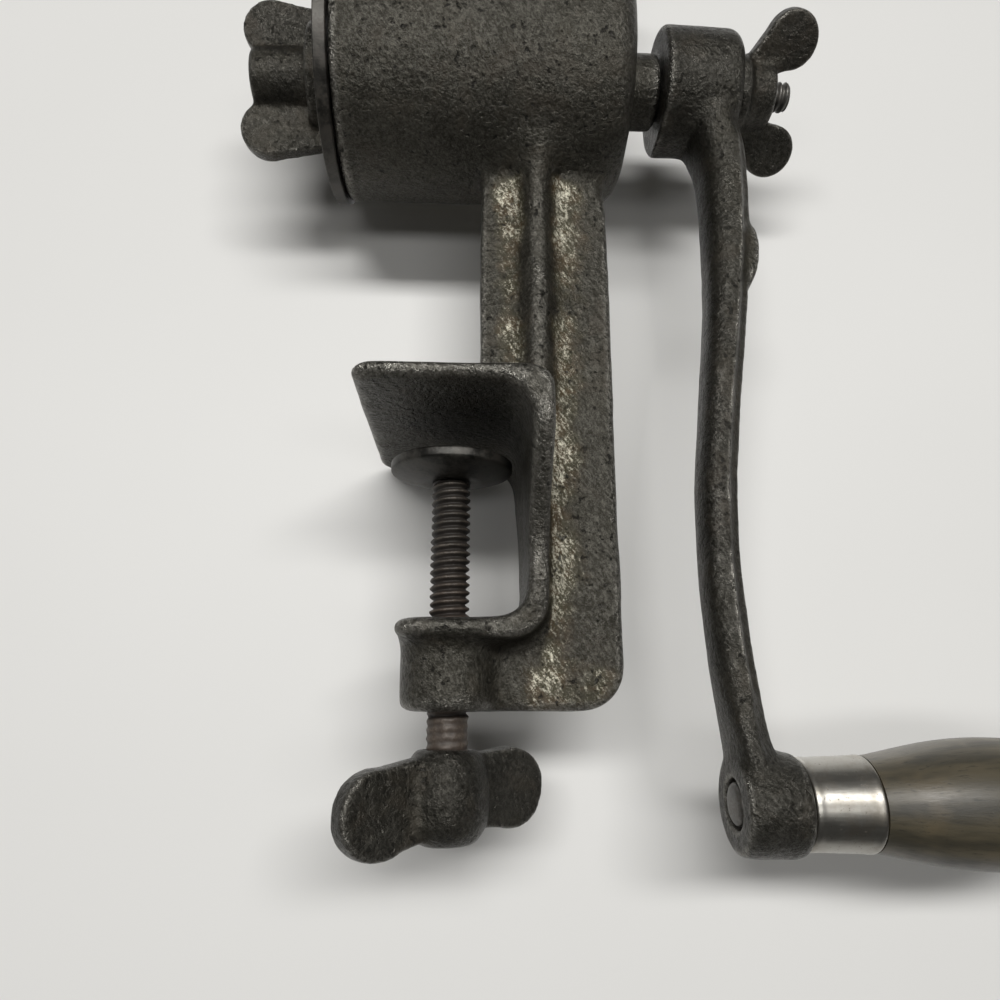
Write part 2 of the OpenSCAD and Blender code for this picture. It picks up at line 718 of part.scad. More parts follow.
module crank_thumb_nut() {
    tip = [cnut_lobe_x, cnut_lobe_y];
    root = [1, cnut_hub_r - 3];
    reach = norm(tip - root);
    dir = atan2(tip[1] - root[1], tip[0] - root[0]);
    inside = cnut_lobe_r - 0.2;
    swing = asin(inside / reach);
    touch = sqrt(reach * reach - inside * inside);
    color("darkgray") difference() {
        union() {
            on_axis(cnut_x0) soft_cylinder(cnut_collar_r, cnut_collar_t, 1);
            on_axis(cnut_x0 + 1) soft_cylinder(cnut_hub_r, cnut_len - 1, 1.4);
            translate([cnut_x0, 0, axis_h]) rotate([cnut_turn, 0, 0]) rotate([90, 0, 0])
                translate([0, 0, -cnut_wing_t / 2]) linear_extrude(cnut_wing_t)
                    for (s = [0, 1]) mirror([0, s]) {
                        translate(tip) circle(r = cnut_lobe_r);
                        polygon([root,
                                 root + touch * [cos(dir + swing), sin(dir + swing)],
                                 tip,
                                 root + touch * [cos(dir - swing), sin(dir - swing)],
                                 [cnut_len - 2, cnut_hub_r - 4]]);
                    }
        }
        on_axis(cnut_x0 - 1) cylinder(r = rear_stud_r + run, h = cnut_len + 2);
    }
}

module handle_spindle() {
    head_x = eye_x0 + head_sink - spindle_head_t;
    color("silver") {
        on_grip(head_x) soft_cylinder(spindle_head_r, spindle_head_t, 0.8);
        on_grip(head_x + spindle_head_t / 2) cylinder(r = spindle_r, h = end_washer_x1 - head_x);
        on_grip(end_washer_x1) soft_cylinder(spindle_r + 1.6, 2, 0.8);
    }
}

module spindle_washer() {
    color("silver") on_grip(grip_x1 + face_gap) difference() {
        cylinder(r = end_washer_r, h = end_washer_t);
        translate([0, 0, -1]) cylinder(r = spindle_r, h = end_washer_t + 2);
    }
}

module grip_ferrule() {
    r = ferrule_r - ferrule_wall;
    color("gainsboro") on_grip(grip_x0) difference() {
        cylinder(r1 = ferrule_r, r2 = ferrule_r + ferrule_flare, h = ferrule_len);
        translate([0, 0, ferrule_wall])
            cylinder(r1 = r, r2 = r + ferrule_flare, h = ferrule_len);
        translate([0, 0, -1]) cylinder(r = spindle_r + 0.4, h = 4);
    }
}

// Radius of the wooden grip at a share of its length past the ferrule.
function wood_r(t) = let(
    swell = pow(sin(180 * pow(t, 0.82)), 1.5),
    start = ferrule_r + ferrule_flare - 0.2)
    start + (grip_r - start) * swell
    - (t > 0.86 ? (start - end_washer_r - 0.8) * (1 - cos(90 * (t - 0.86) / 0.14)) : 0);

module wooden_grip() {
    neck_r = ferrule_r - ferrule_wall;
    body = grip_len - ferrule_len - face_gap;
    color("sienna") on_grip(grip_x0) difference() {
        union() {
            translate([0, 0, ferrule_wall])
                cylinder(r1 = neck_r, r2 = neck_r + ferrule_flare, h = ferrule_len);
            translate([0, 0, ferrule_len + face_gap]) rotate_extrude() polygon(concat(
                [[0, 0]],
                [for (i = [0 : 20]) [wood_r(i / 20), body * i / 20]],
                [[0, body]]));
        }
        translate([0, 0, -1]) cylinder(r = spindle_r + run, h = grip_len + 2);
    }
}

module clamp_screw() {
    color("rosybrown") {
        translate([0, 0, hub_z1 - 6]) cylinder(r = screw_r, h = screw_z1 - hub_z1 + 6);
        translate([0, 0, screw_z1 - eps]) cylinder(r = neck_r, h = dish_z - screw_z1 + 0.6);
        translate([0, 0, dish_z + face_gap]) cylinder(r = neck_r + 1.4, h = pad_dish - 0.7);
    }
}

module clamp_wing() {
    lobe_r = wing_h / 2;
    lobe_x = wing_span / 2 - lobe_r;
    color("dimgray") difference() {
        union() {
            translate([0, 0, hub_z0]) rotate_extrude() polygon(concat(
                [[0, 0]],
                [for (a = [0 : 15 : 90]) [wing_hub_r * (0.45 + 0.55 * sin(a)),
                                          wing_hub_h * 0.42 * (1 - cos(a))]],
                [for (a = [15 : 15 : 90]) [screw_r + 1.6 + (wing_hub_r - screw_r - 1.6) * cos(a),
                                           wing_hub_h * (0.42 + 0.58 * sin(a))]],
                [[0, wing_hub_h]]));
            rotate([0, 0, wing_turn]) translate([0, 0, wing_z]) rotate([90, 0, 0])
                translate([0, 0, -wing_t / 2]) linear_extrude(wing_t) {
                    for (s = [-1, 1]) translate([s * lobe_x, s * wing_droop]) circle(r = lobe_r);
                    polygon([[-lobe_x, lobe_r * 0.98 - wing_droop], [-screw_r, wing_hub_h * 0.48],
                             [screw_r, wing_hub_h * 0.48], [lobe_x, lobe_r * 0.98 + wing_droop],
                             [lobe_x, wing_droop - lobe_r * 0.98], [lobe_x * 0.4, -lobe_r * 0.7],
                             [-lobe_x * 0.45, -lobe_r * 0.88], [-lobe_x, -lobe_r * 0.98 - wing_droop]]);
                }
        }
        translate([0, 0, hub_z1 - 6]) cylinder(r = screw_r, h = 40);
    }
}

module clamp_pad() {
    color("gray") difference() {
        translate([0, 0, pad_z0]) union() {
            cylinder(r1 = screw_r + 2.4, r2 = pad_r, h = pad_cone);
            translate([0, 0, pad_cone - eps]) cylinder(r = pad_r, h = pad_rim + eps);
        }
        translate([0, 0, dish_z]) cylinder(r1 = pad_r - 4.6, r2 = pad_r - 2.4, h = pad_dish + eps);
        translate([0, 0, pad_z0 - 1]) cylinder(r = neck_r + run, h = 20);
    }
}

body_casting();
worm_shaft();
worm_core();
worm_flight();
thrust_washer();
cutter_plate();
front_thumb_nut();
crank_arm();
crank_thumb_nut();
handle_spindle();
spindle_washer();
grip_ferrule();
wooden_grip();
clamp_screw();
clamp_wing();
clamp_pad();
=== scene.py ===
# %% [markdown]
# # A hand cranked meat grinder
# The solids of the grinder come from a CAD model, and this lesson dresses them: cast iron that
# is rounded by the foundry and worn by hands, a rusty screw, a nickel ferrule and a wooden grip.
# Everything is in metres and stays where the CAD model has it.

# %% Load the frame
import bpy
import bmesh
import numpy as np
from mathutils import Matrix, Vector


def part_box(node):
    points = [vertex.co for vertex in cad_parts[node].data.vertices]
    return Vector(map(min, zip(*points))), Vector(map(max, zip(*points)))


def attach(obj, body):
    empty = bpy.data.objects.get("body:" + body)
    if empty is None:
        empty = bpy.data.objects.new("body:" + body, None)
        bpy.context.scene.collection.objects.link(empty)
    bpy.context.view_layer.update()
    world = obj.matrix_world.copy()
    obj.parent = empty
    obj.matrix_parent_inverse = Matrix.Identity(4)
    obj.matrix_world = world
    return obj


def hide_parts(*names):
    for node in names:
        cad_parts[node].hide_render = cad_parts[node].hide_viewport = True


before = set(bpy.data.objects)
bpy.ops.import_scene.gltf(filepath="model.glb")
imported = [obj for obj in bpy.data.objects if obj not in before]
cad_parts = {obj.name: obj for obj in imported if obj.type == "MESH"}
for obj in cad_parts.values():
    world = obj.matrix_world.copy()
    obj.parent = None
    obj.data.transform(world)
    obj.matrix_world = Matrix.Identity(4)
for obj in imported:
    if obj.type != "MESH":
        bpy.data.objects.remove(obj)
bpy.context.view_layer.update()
MM = 0.001
AXIS = 118.3  # height of the shaft's axis in mm
EYE = -98.3  # height of the grip's axis at rest in mm

# %% [markdown]
# ## Camera
# The photograph was taken close up with a wide lens, from a little below the middle of the clamp
# and tilted up by fifteen degrees. A camera matrix is built from three directions: right, up and
# backwards. The focal length is 744 pixels on a frame of 1000.

# %% Camera
PICTURE, FOCAL = 1000, 744  # width and focal length of the photograph in pixels
SENSOR = 36.0  # width of the camera's sensor in mm
pitch, yaw = np.radians(15.0), np.radians(2.4)
forward = np.array([np.sin(yaw) * np.cos(pitch), np.cos(yaw) * np.cos(pitch), np.sin(pitch)])
right = np.array([np.cos(yaw), -np.sin(yaw), 0.0])
up = np.cross(right, forward)
turn = np.eye(4)
turn[:3, 0], turn[:3, 1], turn[:3, 2] = right, up, -forward
turn[:3, 3] = np.array([5.1, -198.1, -72.8]) * MM
camera = bpy.data.objects.new("camera", bpy.data.cameras.new("camera"))
bpy.context.scene.collection.objects.link(camera)
camera.matrix_world = Matrix(turn.tolist())
camera.data.sensor_width = SENSOR
camera.data.lens = FOCAL / PICTURE * SENSOR
camera.data.clip_start = 0.01
bpy.context.scene.camera = camera
print("camera at", np.round(turn[:3, 3] / MM, 1).tolist(), "lens", round(camera.data.lens, 2))

# %% [markdown]
# ## Meshes from arrays
# A mesh is two arrays: points and faces. Most pieces here are grids: a function of two
# parameters, one along the piece and one around it. The grid becomes quads by index arithmetic,
# so no loop ever walks the points one by one.


# %% Mesh helpers
def put(name, points, faces, sharp=35):
    """Makes an object from points in metres and an array of faces, smooth apart from sharp edges."""
    mesh = bpy.data.meshes.new(name)
    mesh.from_pydata(points.tolist(), [], faces if isinstance(faces, list) else faces.tolist())
    mesh.shade_smooth()
    mesh.set_sharp_from_angle(angle=np.radians(sharp))
    piece = bpy.data.objects.new(name, mesh)
    bpy.context.scene.collection.objects.link(piece)
    return piece


def tube_faces(rows, cols):
    """Faces of a grid of rows rings with cols points each, closed round every ring, with end caps."""
    i, j = np.meshgrid(np.arange(rows - 1), np.arange(cols), indexing="ij")
    a, b = i * cols + j, i * cols + (j + 1) % cols
    quads = np.stack([a, b, b + cols, a + cols], axis=-1).reshape(-1, 4).tolist()
    first = list(range(cols))[::-1]
    last = [(rows - 1) * cols + k for k in range(cols)]
    return quads + [first, last]


def along(kind, where):
    """A function that carries (distance, radius, angle) to a point round one of the grinder's axes."""
    def carry(s, r, a):
        """s runs along the axis, r and a are polar coordinates round it, all in millimetres."""
        y, z = r * np.sin(a), r * np.cos(a)
        if kind == "x":
            return np.stack([s + 0 * a, y, where + z], axis=-1) * MM
        return np.stack([z, y, where + s + 0 * a], axis=-1) * MM
    return carry


def smooth_profile(corners, fillets, step=0.35):
    """A profile through corners (distance, radius), each corner rounded by a Bezier of its fillet.

    Between corners the profile is straight. At a corner with fillet f it leaves the line f before
    the corner and comes back f after it, on the curve (1-t)^2 a + 2t(1-t) corner + t^2 b."""
    corners = np.array(corners, float)
    out = [corners[0]]
    for p, c, n, f in zip(corners[:-2], corners[1:-1], corners[2:], fillets):
        a = c + (p - c) / np.linalg.norm(p - c) * min(f, 0.49 * np.linalg.norm(p - c))
        b = c + (n - c) / np.linalg.norm(n - c) * min(f, 0.49 * np.linalg.norm(n - c))
        t = np.linspace(0, 1, 2 + int(2 * f / step))[:, None]
        out.extend((1 - t) ** 2 * a + 2 * t * (1 - t) * c + t ** 2 * b)
    return np.array(out + [corners[-1]])


def lathe(name, carry, profile, sides=96, sharp=50):
    """Turns a profile of (distance, radius) pairs round an axis, as a lathe does."""
    profile = np.array(profile, float)
    angles = np.linspace(0, 2 * np.pi, sides, endpoint=False)
    s, a = np.meshgrid(profile[:, 0], angles, indexing="ij")
    r = np.repeat(profile[:, 1:2], sides, axis=1)
    faces = tube_faces(len(profile), sides)
    piece = put(name, carry(s, r, a).reshape(-1, 3), faces, sharp)
    face_out(piece)
    return piece


def face_out(piece):
    """Turns all faces of a closed piece outwards."""
    bm = bmesh.new()
    bm.from_mesh(piece.data)
    bmesh.ops.remove_doubles(bm, verts=bm.verts, dist=1e-7)
    bmesh.ops.recalc_face_normals(bm, faces=bm.faces)
    bm.to_mesh(piece.data)
    bm.free()


ON_BARREL = along("x", AXIS)
ON_GRIP = along("x", EYE)
ON_SCREW = along("z", 0.0)

# %% [markdown]
# ## Ramps and noise in arrays
# Most shapes and masks here are ramps: 0 up to a place and 1 beyond it, with a slope between.
# Cast iron is never quite even, so its skin also needs noise. Value noise gives each corner of a
# lattice a number from a hash and blends the eight corners round a point with a smooth step. It
# works on all points at once, and the same seed always gives the same noise.


# %% Ramps and lattice noise
def ramp(value, start, width):
    """0 up to start, then rising evenly to 1 over the width. A negative width rises downwards."""
    return np.clip((value - start) / width, 0, 1)


def ease(t):
    """Smooth step from 0 to 1: t squared times three minus two t."""
    return t * t * (3 - 2 * t)


def lattice_noise(points, cell, seed):
    """Smooth noise from 0 to 1 with features of about cell millimetres, one value for each point."""
    q = points / (cell * MM)
    i = np.floor(q).astype(np.int64)
    f = ease(q - i)
    total = np.zeros(len(points))
    for corner in range(8):
        d = np.array([corner & 1, corner >> 1 & 1, corner >> 2 & 1])
        n = (i + d) @ np.array([73856093, 19349663, 83492791]) + seed * 7919
        n = (n ^ (n >> 13)) * 1274126177 & 0x7FFFFFFF
        n = (n ^ (n >> 15)) * 83492791 & 0x7FFFFFFF
        weight = np.prod(np.where(d == 1, f, 1 - f), axis=1)
        total += weight * (n / 0x7FFFFFFF)
    return total


# %% [markdown]
# ## Castings
# A casting has no sharp edges: sand and molten iron round every corner and fill every hollow.
# Rounding hundreds of edges one by one would be slow, so the CAD solid is copied, remeshed into
# even voxels and relaxed. Relaxing moves each point towards the mean of its neighbours. Moving
# only outwards fills hollows like a fillet, and moving both ways rounds the edges too. The
# curvature that is left goes into three attributes, edge, hollow and near, which the finish reads.


# %% Casting helpers
def joined_copy(node, flat=0.0):
    """A copy of a CAD node's mesh with its loose triangles joined.

    Where flat is given, faces that meet at less than that many degrees are merged too."""
    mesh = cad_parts[node].data.copy()
    bm = bmesh.new()
    bm.from_mesh(mesh)
    bmesh.ops.remove_doubles(bm, verts=bm.verts, dist=2e-6)
    if flat:
        bmesh.ops.dissolve_limit(bm, angle_limit=np.radians(flat), verts=bm.verts, edges=bm.edges)
    bm.to_mesh(mesh)
    bm.free()
    return mesh


def gather(index, values, count):
    """Adds up rows of values by index, into an array of count rows."""
    return np.stack([np.bincount(index, values[:, k], count) for k in range(3)], axis=1)


class Skin:
    """The points, quads and edges of a remeshed casting, as arrays."""

    def __init__(self, node, voxel):
        """Copies a CAD node and remeshes it with voxels of that size in mm."""
        mesh = joined_copy(node)
        rough = bpy.data.objects.new("rough", mesh)
        bpy.context.scene.collection.objects.link(rough)
        remesh = rough.modifiers.new("voxels", "REMESH")
        remesh.mode = "VOXEL"
        remesh.voxel_size = voxel * MM
        bpy.context.view_layer.update()
        fine = rough.evaluated_get(bpy.context.evaluated_depsgraph_get()).to_mesh()
        self.voxel = voxel
        self.co = np.empty(len(fine.vertices) * 3)
        fine.vertices.foreach_get("co", self.co)
        self.co = self.co.reshape(-1, 3)
        quads = np.empty(len(fine.polygons) * 4, np.int32)
        fine.polygons.foreach_get("vertices", quads)
        self.quads = quads.reshape(-1, 4)
        edges = np.empty(len(fine.edges) * 2, np.int32)
        fine.edges.foreach_get("vertices", edges)
        self.a, self.b = edges.reshape(-1, 2).T
        self.count = len(self.co)
        self.degree = np.bincount(edges, minlength=self.count)[:, None]
        rough.to_mesh_clear()
        bpy.data.objects.remove(rough)
        bpy.data.meshes.remove(mesh)

    def mean(self, values):
        """The mean of each point's neighbours."""
        total = gather(self.a, values[self.b], self.count) + gather(self.b, values[self.a], self.count)
        return total / self.degree

    def normals(self):
        """Outward direction at each point: the sum of the cross products of the quads' diagonals."""
        p = self.co[self.quads]
        n = np.cross(p[:, 2] - p[:, 0], p[:, 3] - p[:, 1])
        total = gather(self.quads.ravel(), np.repeat(n, 4, axis=0), self.count)
        return total / np.maximum(np.linalg.norm(total, axis=1, keepdims=True), 1e-12)

    def relax(self, times, weight=1.0):
        """Rounds edges and hollows alike: each point moves halfway to its neighbours' mean."""
        weight = np.reshape(weight, (-1, 1))
        for _ in range(times):
            self.co += 0.5 * weight * (self.mean(self.co) - self.co)

    def polish(self, times):
        """Takes the voxels' steps away without shrinking: one pass in, one a little larger pass out."""
        for _ in range(times):
            self.co += 0.5 * (self.mean(self.co) - self.co)
            self.co -= 0.53 * (self.mean(self.co) - self.co)

    def fill(self, times, weight=1.0):
        """Fillets hollows: a point moves along its normal, but only outwards."""
        weight = np.reshape(weight, (-1, 1))
        for _ in range(times):
            n = self.normals()
            push = np.maximum(((self.mean(self.co) - self.co) * n).sum(1, keepdims=True), 0)
            self.co += 0.6 * weight * push * n

    def uneven(self, cell, depth, seed):
        """Moves the skin in and out by lattice noise of that depth in millimetres."""
        lift = (lattice_noise(self.co, cell, seed) - 0.5) * 2 * depth * MM
        self.co += lift[:, None] * self.normals()

    def bend(self):
        """Curvature at each point: above 0 on edges, below 0 in hollows, about 1 at a sharp fold."""
        n = self.normals()
        c = -((self.mean(self.co) - self.co) * n).sum(1, keepdims=True) / (0.25 * self.voxel * MM)
        return np.repeat(c, 3, axis=1)

    def finish(self, name, spread, reach, tinned=1.0, more=0.0, wear_and_highlight=0.0):
        """Makes the object with three numbers at each point: edge, hollow and near.

        Edge and hollow are the curvature above and below zero, spread over a few neighbours. Near is
        the hollow spread over reach neighbours and scaled to 1, so it fades with the distance from a
        hollow. Tinned says how much of near counts at each point, more is added to it, and the last
        argument is added to the edge: wear that also stands for a painted highlight."""
        piece = put(name, self.co, self.quads, 180)
        bend = self.bend()
        edge, hollow = np.maximum(bend, 0), np.maximum(-bend, 0)
        near = np.minimum(hollow, 0.3)
        for _ in range(reach):
            near = 0.5 * (near + self.mean(near))
        near = np.minimum(near / max(np.percentile(near, 98), 1e-6), 1)
        near = np.minimum(near * np.reshape(tinned, (-1, 1)) + np.reshape(more, (-1, 1)), 1)
        for step in range(spread):
            hollow = self.mean(hollow) if step else np.maximum(hollow, self.mean(hollow))
            if step < 2:
                edge = self.mean(edge)
        # the last argument adds wear to the edge; on the crank it also stands for a painted highlight
        edge = edge + np.reshape(wear_and_highlight, (-1, 1))
        for label, values in (("edge", edge), ("hollow", hollow), ("near", near)):
            layer = piece.data.attributes.new(label, "FLOAT", "POINT")
            layer.data.foreach_set("value", np.ascontiguousarray(values[:, 0], np.float32))
        print(name, len(self.co), "points, edge up to", round(float(edge.max()), 2),
              "hollow up to", round(float(hollow.max()), 2))
        return piece


def ring_room(skin, axis, span, least):
    """Pushes a bore's wall out to a radius of at least that many mm, over a span of its axis.

    The bore lies on the shaft's axis if axis is x and on the clamp screw's if it is z."""
    x, y, z = (skin.co / MM).T
    s, v = (x, z - AXIS) if axis == "x" else (z, x)
    r = np.hypot(y, v)
    inside = (r < least) & (s > span[0]) & (s < span[1])
    k = np.where(inside, least / np.maximum(r, 1e-6), 1.0)
    skin.co[:, 1] *= k
    if axis == "x":
        skin.co[:, 2] = (AXIS + v * k) * MM
    else:
        skin.co[:, 0] *= k


# %% [markdown]
# ## The body casting
# Barrel, hopper, post and clamp are one casting. Where the post meets the barrel and where the
# ribs meet the web, the fillets are wide, so these places are filled longer than the rest. The
# barrel's mouth is machined: it keeps its crisp shape, and its end and notches are trued. The bores
# get their clear radius back at the end, because the shaft and the screw turn in them.


# %% Body casting
# the barrel's front end, outer radius and wall in mm, and its shear notches
MOUTH_X, BARREL_R, WALL, NOTCHES = -35.7, 35.2, 4.2, 10
# least radius in mm of the bores for the clamp screw, the bearing, the worm and the shaft's studs
SCREW_ROOM, BEARING_ROOM, WORM_ROOM, STUD_ROOM = 5.8, 7.62, 30.9, 4.68


def clean_mouth(skin):
    """Makes the barrel's mouth true again: its end is flat and its shear notches are even.

    The bore's radius is the outer radius less the wall, plus half the wall in each notch. A notch is
    a pulse about 4 mm wide along the rim and 3 mm deep along the axis. Points that face the axis go
    to that radius, and points that face forward go to the mouth's plane."""
    x, y, z = (skin.co / MM).T
    z = z - AXIS
    n = skin.normals()
    r = np.maximum(np.hypot(y, z), 1e-6)
    turn = 2 * np.pi / NOTCHES
    arc = r * np.abs((np.arctan2(y, -z) + turn / 2) % turn - turn / 2)
    pulse = ramp(arc, 2.5, -1.0) * ramp(x, MOUTH_X + 3.4, -0.8)
    bore = BARREL_R - WALL + 0.5 * WALL * ease(pulse)
    inward = -(n[:, 1] * y + n[:, 2] * z) / r
    near_mouth = (x < MOUTH_X + 5) & (r < BARREL_R + 1)
    k = np.where(near_mouth & (inward > 0.15) & (n[:, 0] > -0.75), bore / r, 1.0)
    skin.co[:, 1] *= k
    skin.co[:, 2] = (AXIS + z * k) * MM
    ahead = near_mouth & (n[:, 0] < -0.6) & (x < MOUTH_X + 1)
    skin.co[ahead, 0] = MOUTH_X * MM


body = Skin("body_casting", 1.12)
body.polish(2)
crisp = body.co.copy()
x, y, z = (crisp / MM).T
from_axis, from_screw = np.hypot(y, z - AXIS), np.hypot(x, y)
# masks: the barrel's mouth, all but the bores, the clamp's opening, the post's head, the ribs' crests
mouth = ramp(x, -31.5, -1.5) * (from_axis < 37)
outside = (from_axis > 33) & (from_screw > 8.5)
throat = (x < 22) & (z < 8)
under_barrel = outside * np.exp(-((z - 84) / 9) ** 2) * (np.abs(y) < 18)
rib_ridge = (y < -5) & (x > 14) & (z > 6) & (z < 100) & (from_axis > 35.5)
body.relax(3)
body.relax(6, z < 7)
body.fill(12, outside)
body.fill(46, outside & ~throat)
body.fill(150, under_barrel)
body.relax(30, under_barrel)
body.relax(10, rib_ridge)
body.relax(2)
body.uneven(14, 0.2, 3)
body.uneven(5, 0.1, 4)
body.co += mouth[:, None] * (crisp - body.co)
clean_mouth(body)
body.relax(3, mouth)
ring_room(body, "z", (-80, -50), SCREW_ROOM)
ring_room(body, "x", (44, 70), BEARING_ROOM)
ring_room(body, "x", (-36, 46), WORM_ROOM)
# where tin is left: on the web beside the ribs, and some on the clamp's lower corner
on_web = ramp(x, np.where(z < 6, 23, 9), 3) * ramp(z, 86, -8)
corner = 0.5 * ramp(x, 16, 6) * ramp(z, -58, -8)
casting = body.finish("casting", 7, 70, on_web, corner)
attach(casting, "frame")
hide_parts("body_casting")

# %% [markdown]
# ## Nuts, thumb piece and crank
# These are small castings, so their voxels are finer and the rounding goes further in
# proportion: a thumb piece is as smooth as a pebble. The crank's arm is also given a flat back.

# %% Small castings
HUB_FACE = 63.9  # the hub's inner face in mm along X
PANEL = 2.6  # how far the arm's flat side lies within its outline in mm
# share of the way down, inner side, outer side and half width of the arm, in mm from the hub's face
ARM = np.array([
    (0, 10, 23.4, 13.5), (0.055, 9.6, 23.6, 13.2), (0.08, 9.6, 23.9, 12.8), (0.1, 10.8, 24.3, 12.2),
    (0.12, 12, 24.6, 11.6), (0.15, 12.6, 24.8, 10.8), (0.2, 12.7, 24.8, 9.8), (0.28, 12.2, 23.6, 9.2),
    (0.345, 11.6, 22.2, 8.8), (0.42, 10, 20, 8.4), (0.496, 7.9, 17.4, 8.2), (0.609, 5.2, 14.4, 8.2),
    (0.715, 4.3, 13.2, 8.2), (0.813, 5.2, 14, 8.4), (0.87, 6.3, 15.2, 8.8), (0.91, 7.3, 16.4, 9.4),
    (0.935, 8.1, 17.8, 9.8), (0.96, 8.8, 19.8, 10.4), (1, 9.6, 21.6, 10.6)])


def flat_backed(skin):
    """Gives the arm a section like a D, flat on its outer side and round on its inner side.

    With t from 0 at the flat side to 1 at the inner side the half width is w times the 2.5th root of
    one minus t cubed. The CAD bar's half width is that of a rounded rectangle, so y is scaled by the
    ratio of the two. Gives the places along the ridge of the flat side, which hands rub bright and
    which are also made paler as a painted highlight."""
    x, y, z = (skin.co / MM).T
    share = (AXIS - z) / (AXIS - EYE)
    inner, outer, w = (np.interp(share, ARM[:, 0], ARM[:, k]) for k in (1, 2, 3))
    inner, outer = inner + HUB_FACE, outer + HUB_FACE - PANEL
    t = np.clip((outer - x) / (outer - inner), 0.05, 0.985)
    power = 2.78
    bar = (1 - np.abs(2 * t - 1) ** power) ** (1 / power)
    wanted = (1 - t ** 3) ** (1 / 2.5)
    fade = ramp(z - EYE, 16, 12) * ramp(z, AXIS - 15, -10)
    ridge_line = fade * np.exp(-((x - outer + 0.6) / 0.9) ** 2)
    skin.co[:, 0] += 0.13 * fade * (x - (inner + outer) / 2) * MM
    fade = fade * ramp(x, outer - 0.1, -0.4)
    limit = w / np.maximum(np.abs(y), 0.5)
    skin.co[:, 1] *= np.minimum(1 + (wanted / bar - 1) * fade, np.maximum(limit, 1))
    return ridge_line * (np.abs(skin.co[:, 1]) > 0.75 * w * MM)


nut = Skin("front_thumb_nut", 0.5)
nut.polish(2)
nut.relax(9)
nut.fill(16)
nut.uneven(6, 0.12, 11)
ring_room(nut, "x", (-70, -39), STUD_ROOM)
front_nut = nut.finish("front_nut", 5, 30)
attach(front_nut, "front_nut")
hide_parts("front_thumb_nut")

nut = Skin("crank_thumb_nut", 0.42)
nut.polish(2)
nut.relax(10)
nut.fill(70)
nut.relax(3)
# the upper wing is longer than the lower one
lift = ramp(nut.co[:, 2] / MM - AXIS, 8, 14) ** 1.3
nut.co += lift[:, None] * np.array([0.5, 0.0, 2.3]) * MM
nut.uneven(6, 0.1, 12)
ring_room(nut, "x", (88, 105), STUD_ROOM)
crank_nut = nut.finish("crank_nut", 5, 30)
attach(crank_nut, "crank_nut")
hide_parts("crank_thumb_nut")

thumb = Skin("clamp_wing", 0.5)
thumb.polish(2)
thumb.relax(14)
thumb.fill(30)
thumb.uneven(7, 0.3, 13)
thumb.uneven(3, 0.08, 17)
wing = thumb.finish("thumb_piece", 5, 30)
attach(wing, "screw")
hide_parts("clamp_wing")

arm = Skin("crank_arm", 0.55)
arm.polish(2)
ridge_wear_and_highlight = flat_backed(arm)
arm.polish(2)
x, y, z = (arm.co / MM).T
from_axis, from_grip = np.hypot(y, z - AXIS), np.hypot(y, z - EYE)
# masks: the flat faces of hub and eye, all but their bores, the arm's two roots, the boss on its side
hub_face = (from_axis < 25) & (x < 68)
eye_face = (from_grip < 16) & (x < 76)
free = ~(eye_face & (from_grip < 8)) & (from_axis > 10)
hub_root = ~hub_face & (np.abs(z - AXIS + 20) < 18) & (x < 87)
eye_root = ~eye_face & (np.abs(z - EYE - 15) < 12)
on_boss = (x > 86.5) & (z > 44) & (z < 72)
boss_rim = on_boss * np.exp(-((np.hypot((z - 57) / 11.5, y / 9) - 1) / 0.14) ** 2)
arm.relax(2)
arm.relax(3, ~hub_face & ~eye_face)
arm.fill(14, free)
arm.fill(150, free & hub_root)
arm.fill(90, free & eye_root)
arm.relax(2, free)
arm.uneven(11, 0.18, 14)
arm.uneven(4, 0.09, 15)
# the ridge and the boss's rim are made paler in patches: partly wear, partly a painted highlight
patchy = np.clip(lattice_noise(arm.co, 6, 31) * 1.6 - 0.35, 0, 1)
rubbed = patchy * np.maximum(0.3 * ridge_wear_and_highlight, 0.35 * boss_rim)
crank = arm.finish("crank", 5, 40, wear_and_highlight=rubbed)
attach(crank, "crank")
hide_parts("crank_arm")

# %% [markdown]
# ## Threads
# A thread is a ridge that climbs one pitch in each turn. On a grid of distance s and angle a the
# radius is root + depth * ridge, where ridge is a rounded triangle wave of s / pitch - a / 2 pi.
# The clamp screw has twelve threads to the inch, and so have the shaft's studs.

# %% Thread surface
PITCH = 25.4 / 12  # mm


def ridge(s, a):
    """Rounded triangle wave from 0 in the root to 1 on the crest, climbing one pitch in each turn."""
    t = (s / PITCH - a / (2 * np.pi)) % 1.0
    w = ramp(1 - np.abs(2 * t - 1), 0.06, 0.8)
    return 0.55 * w + 0.45 * ease(w)


# %% Clamp screw
# upper and lower end of the thread, its outer radius and its depth, in mm
THREAD_TOP, THREAD_END, SCREW_R, DEPTH = -15.5, -88.5, 5.52, 1.05
# height and radius of the neck that swivels in the pad
NECK = np.array([[-15.5, 3.6], [-11.8, 3.6], [-11.45, 3.7], [-11.4, 4.9], [-10.5, 4.9], [-10.1, 4.4]])

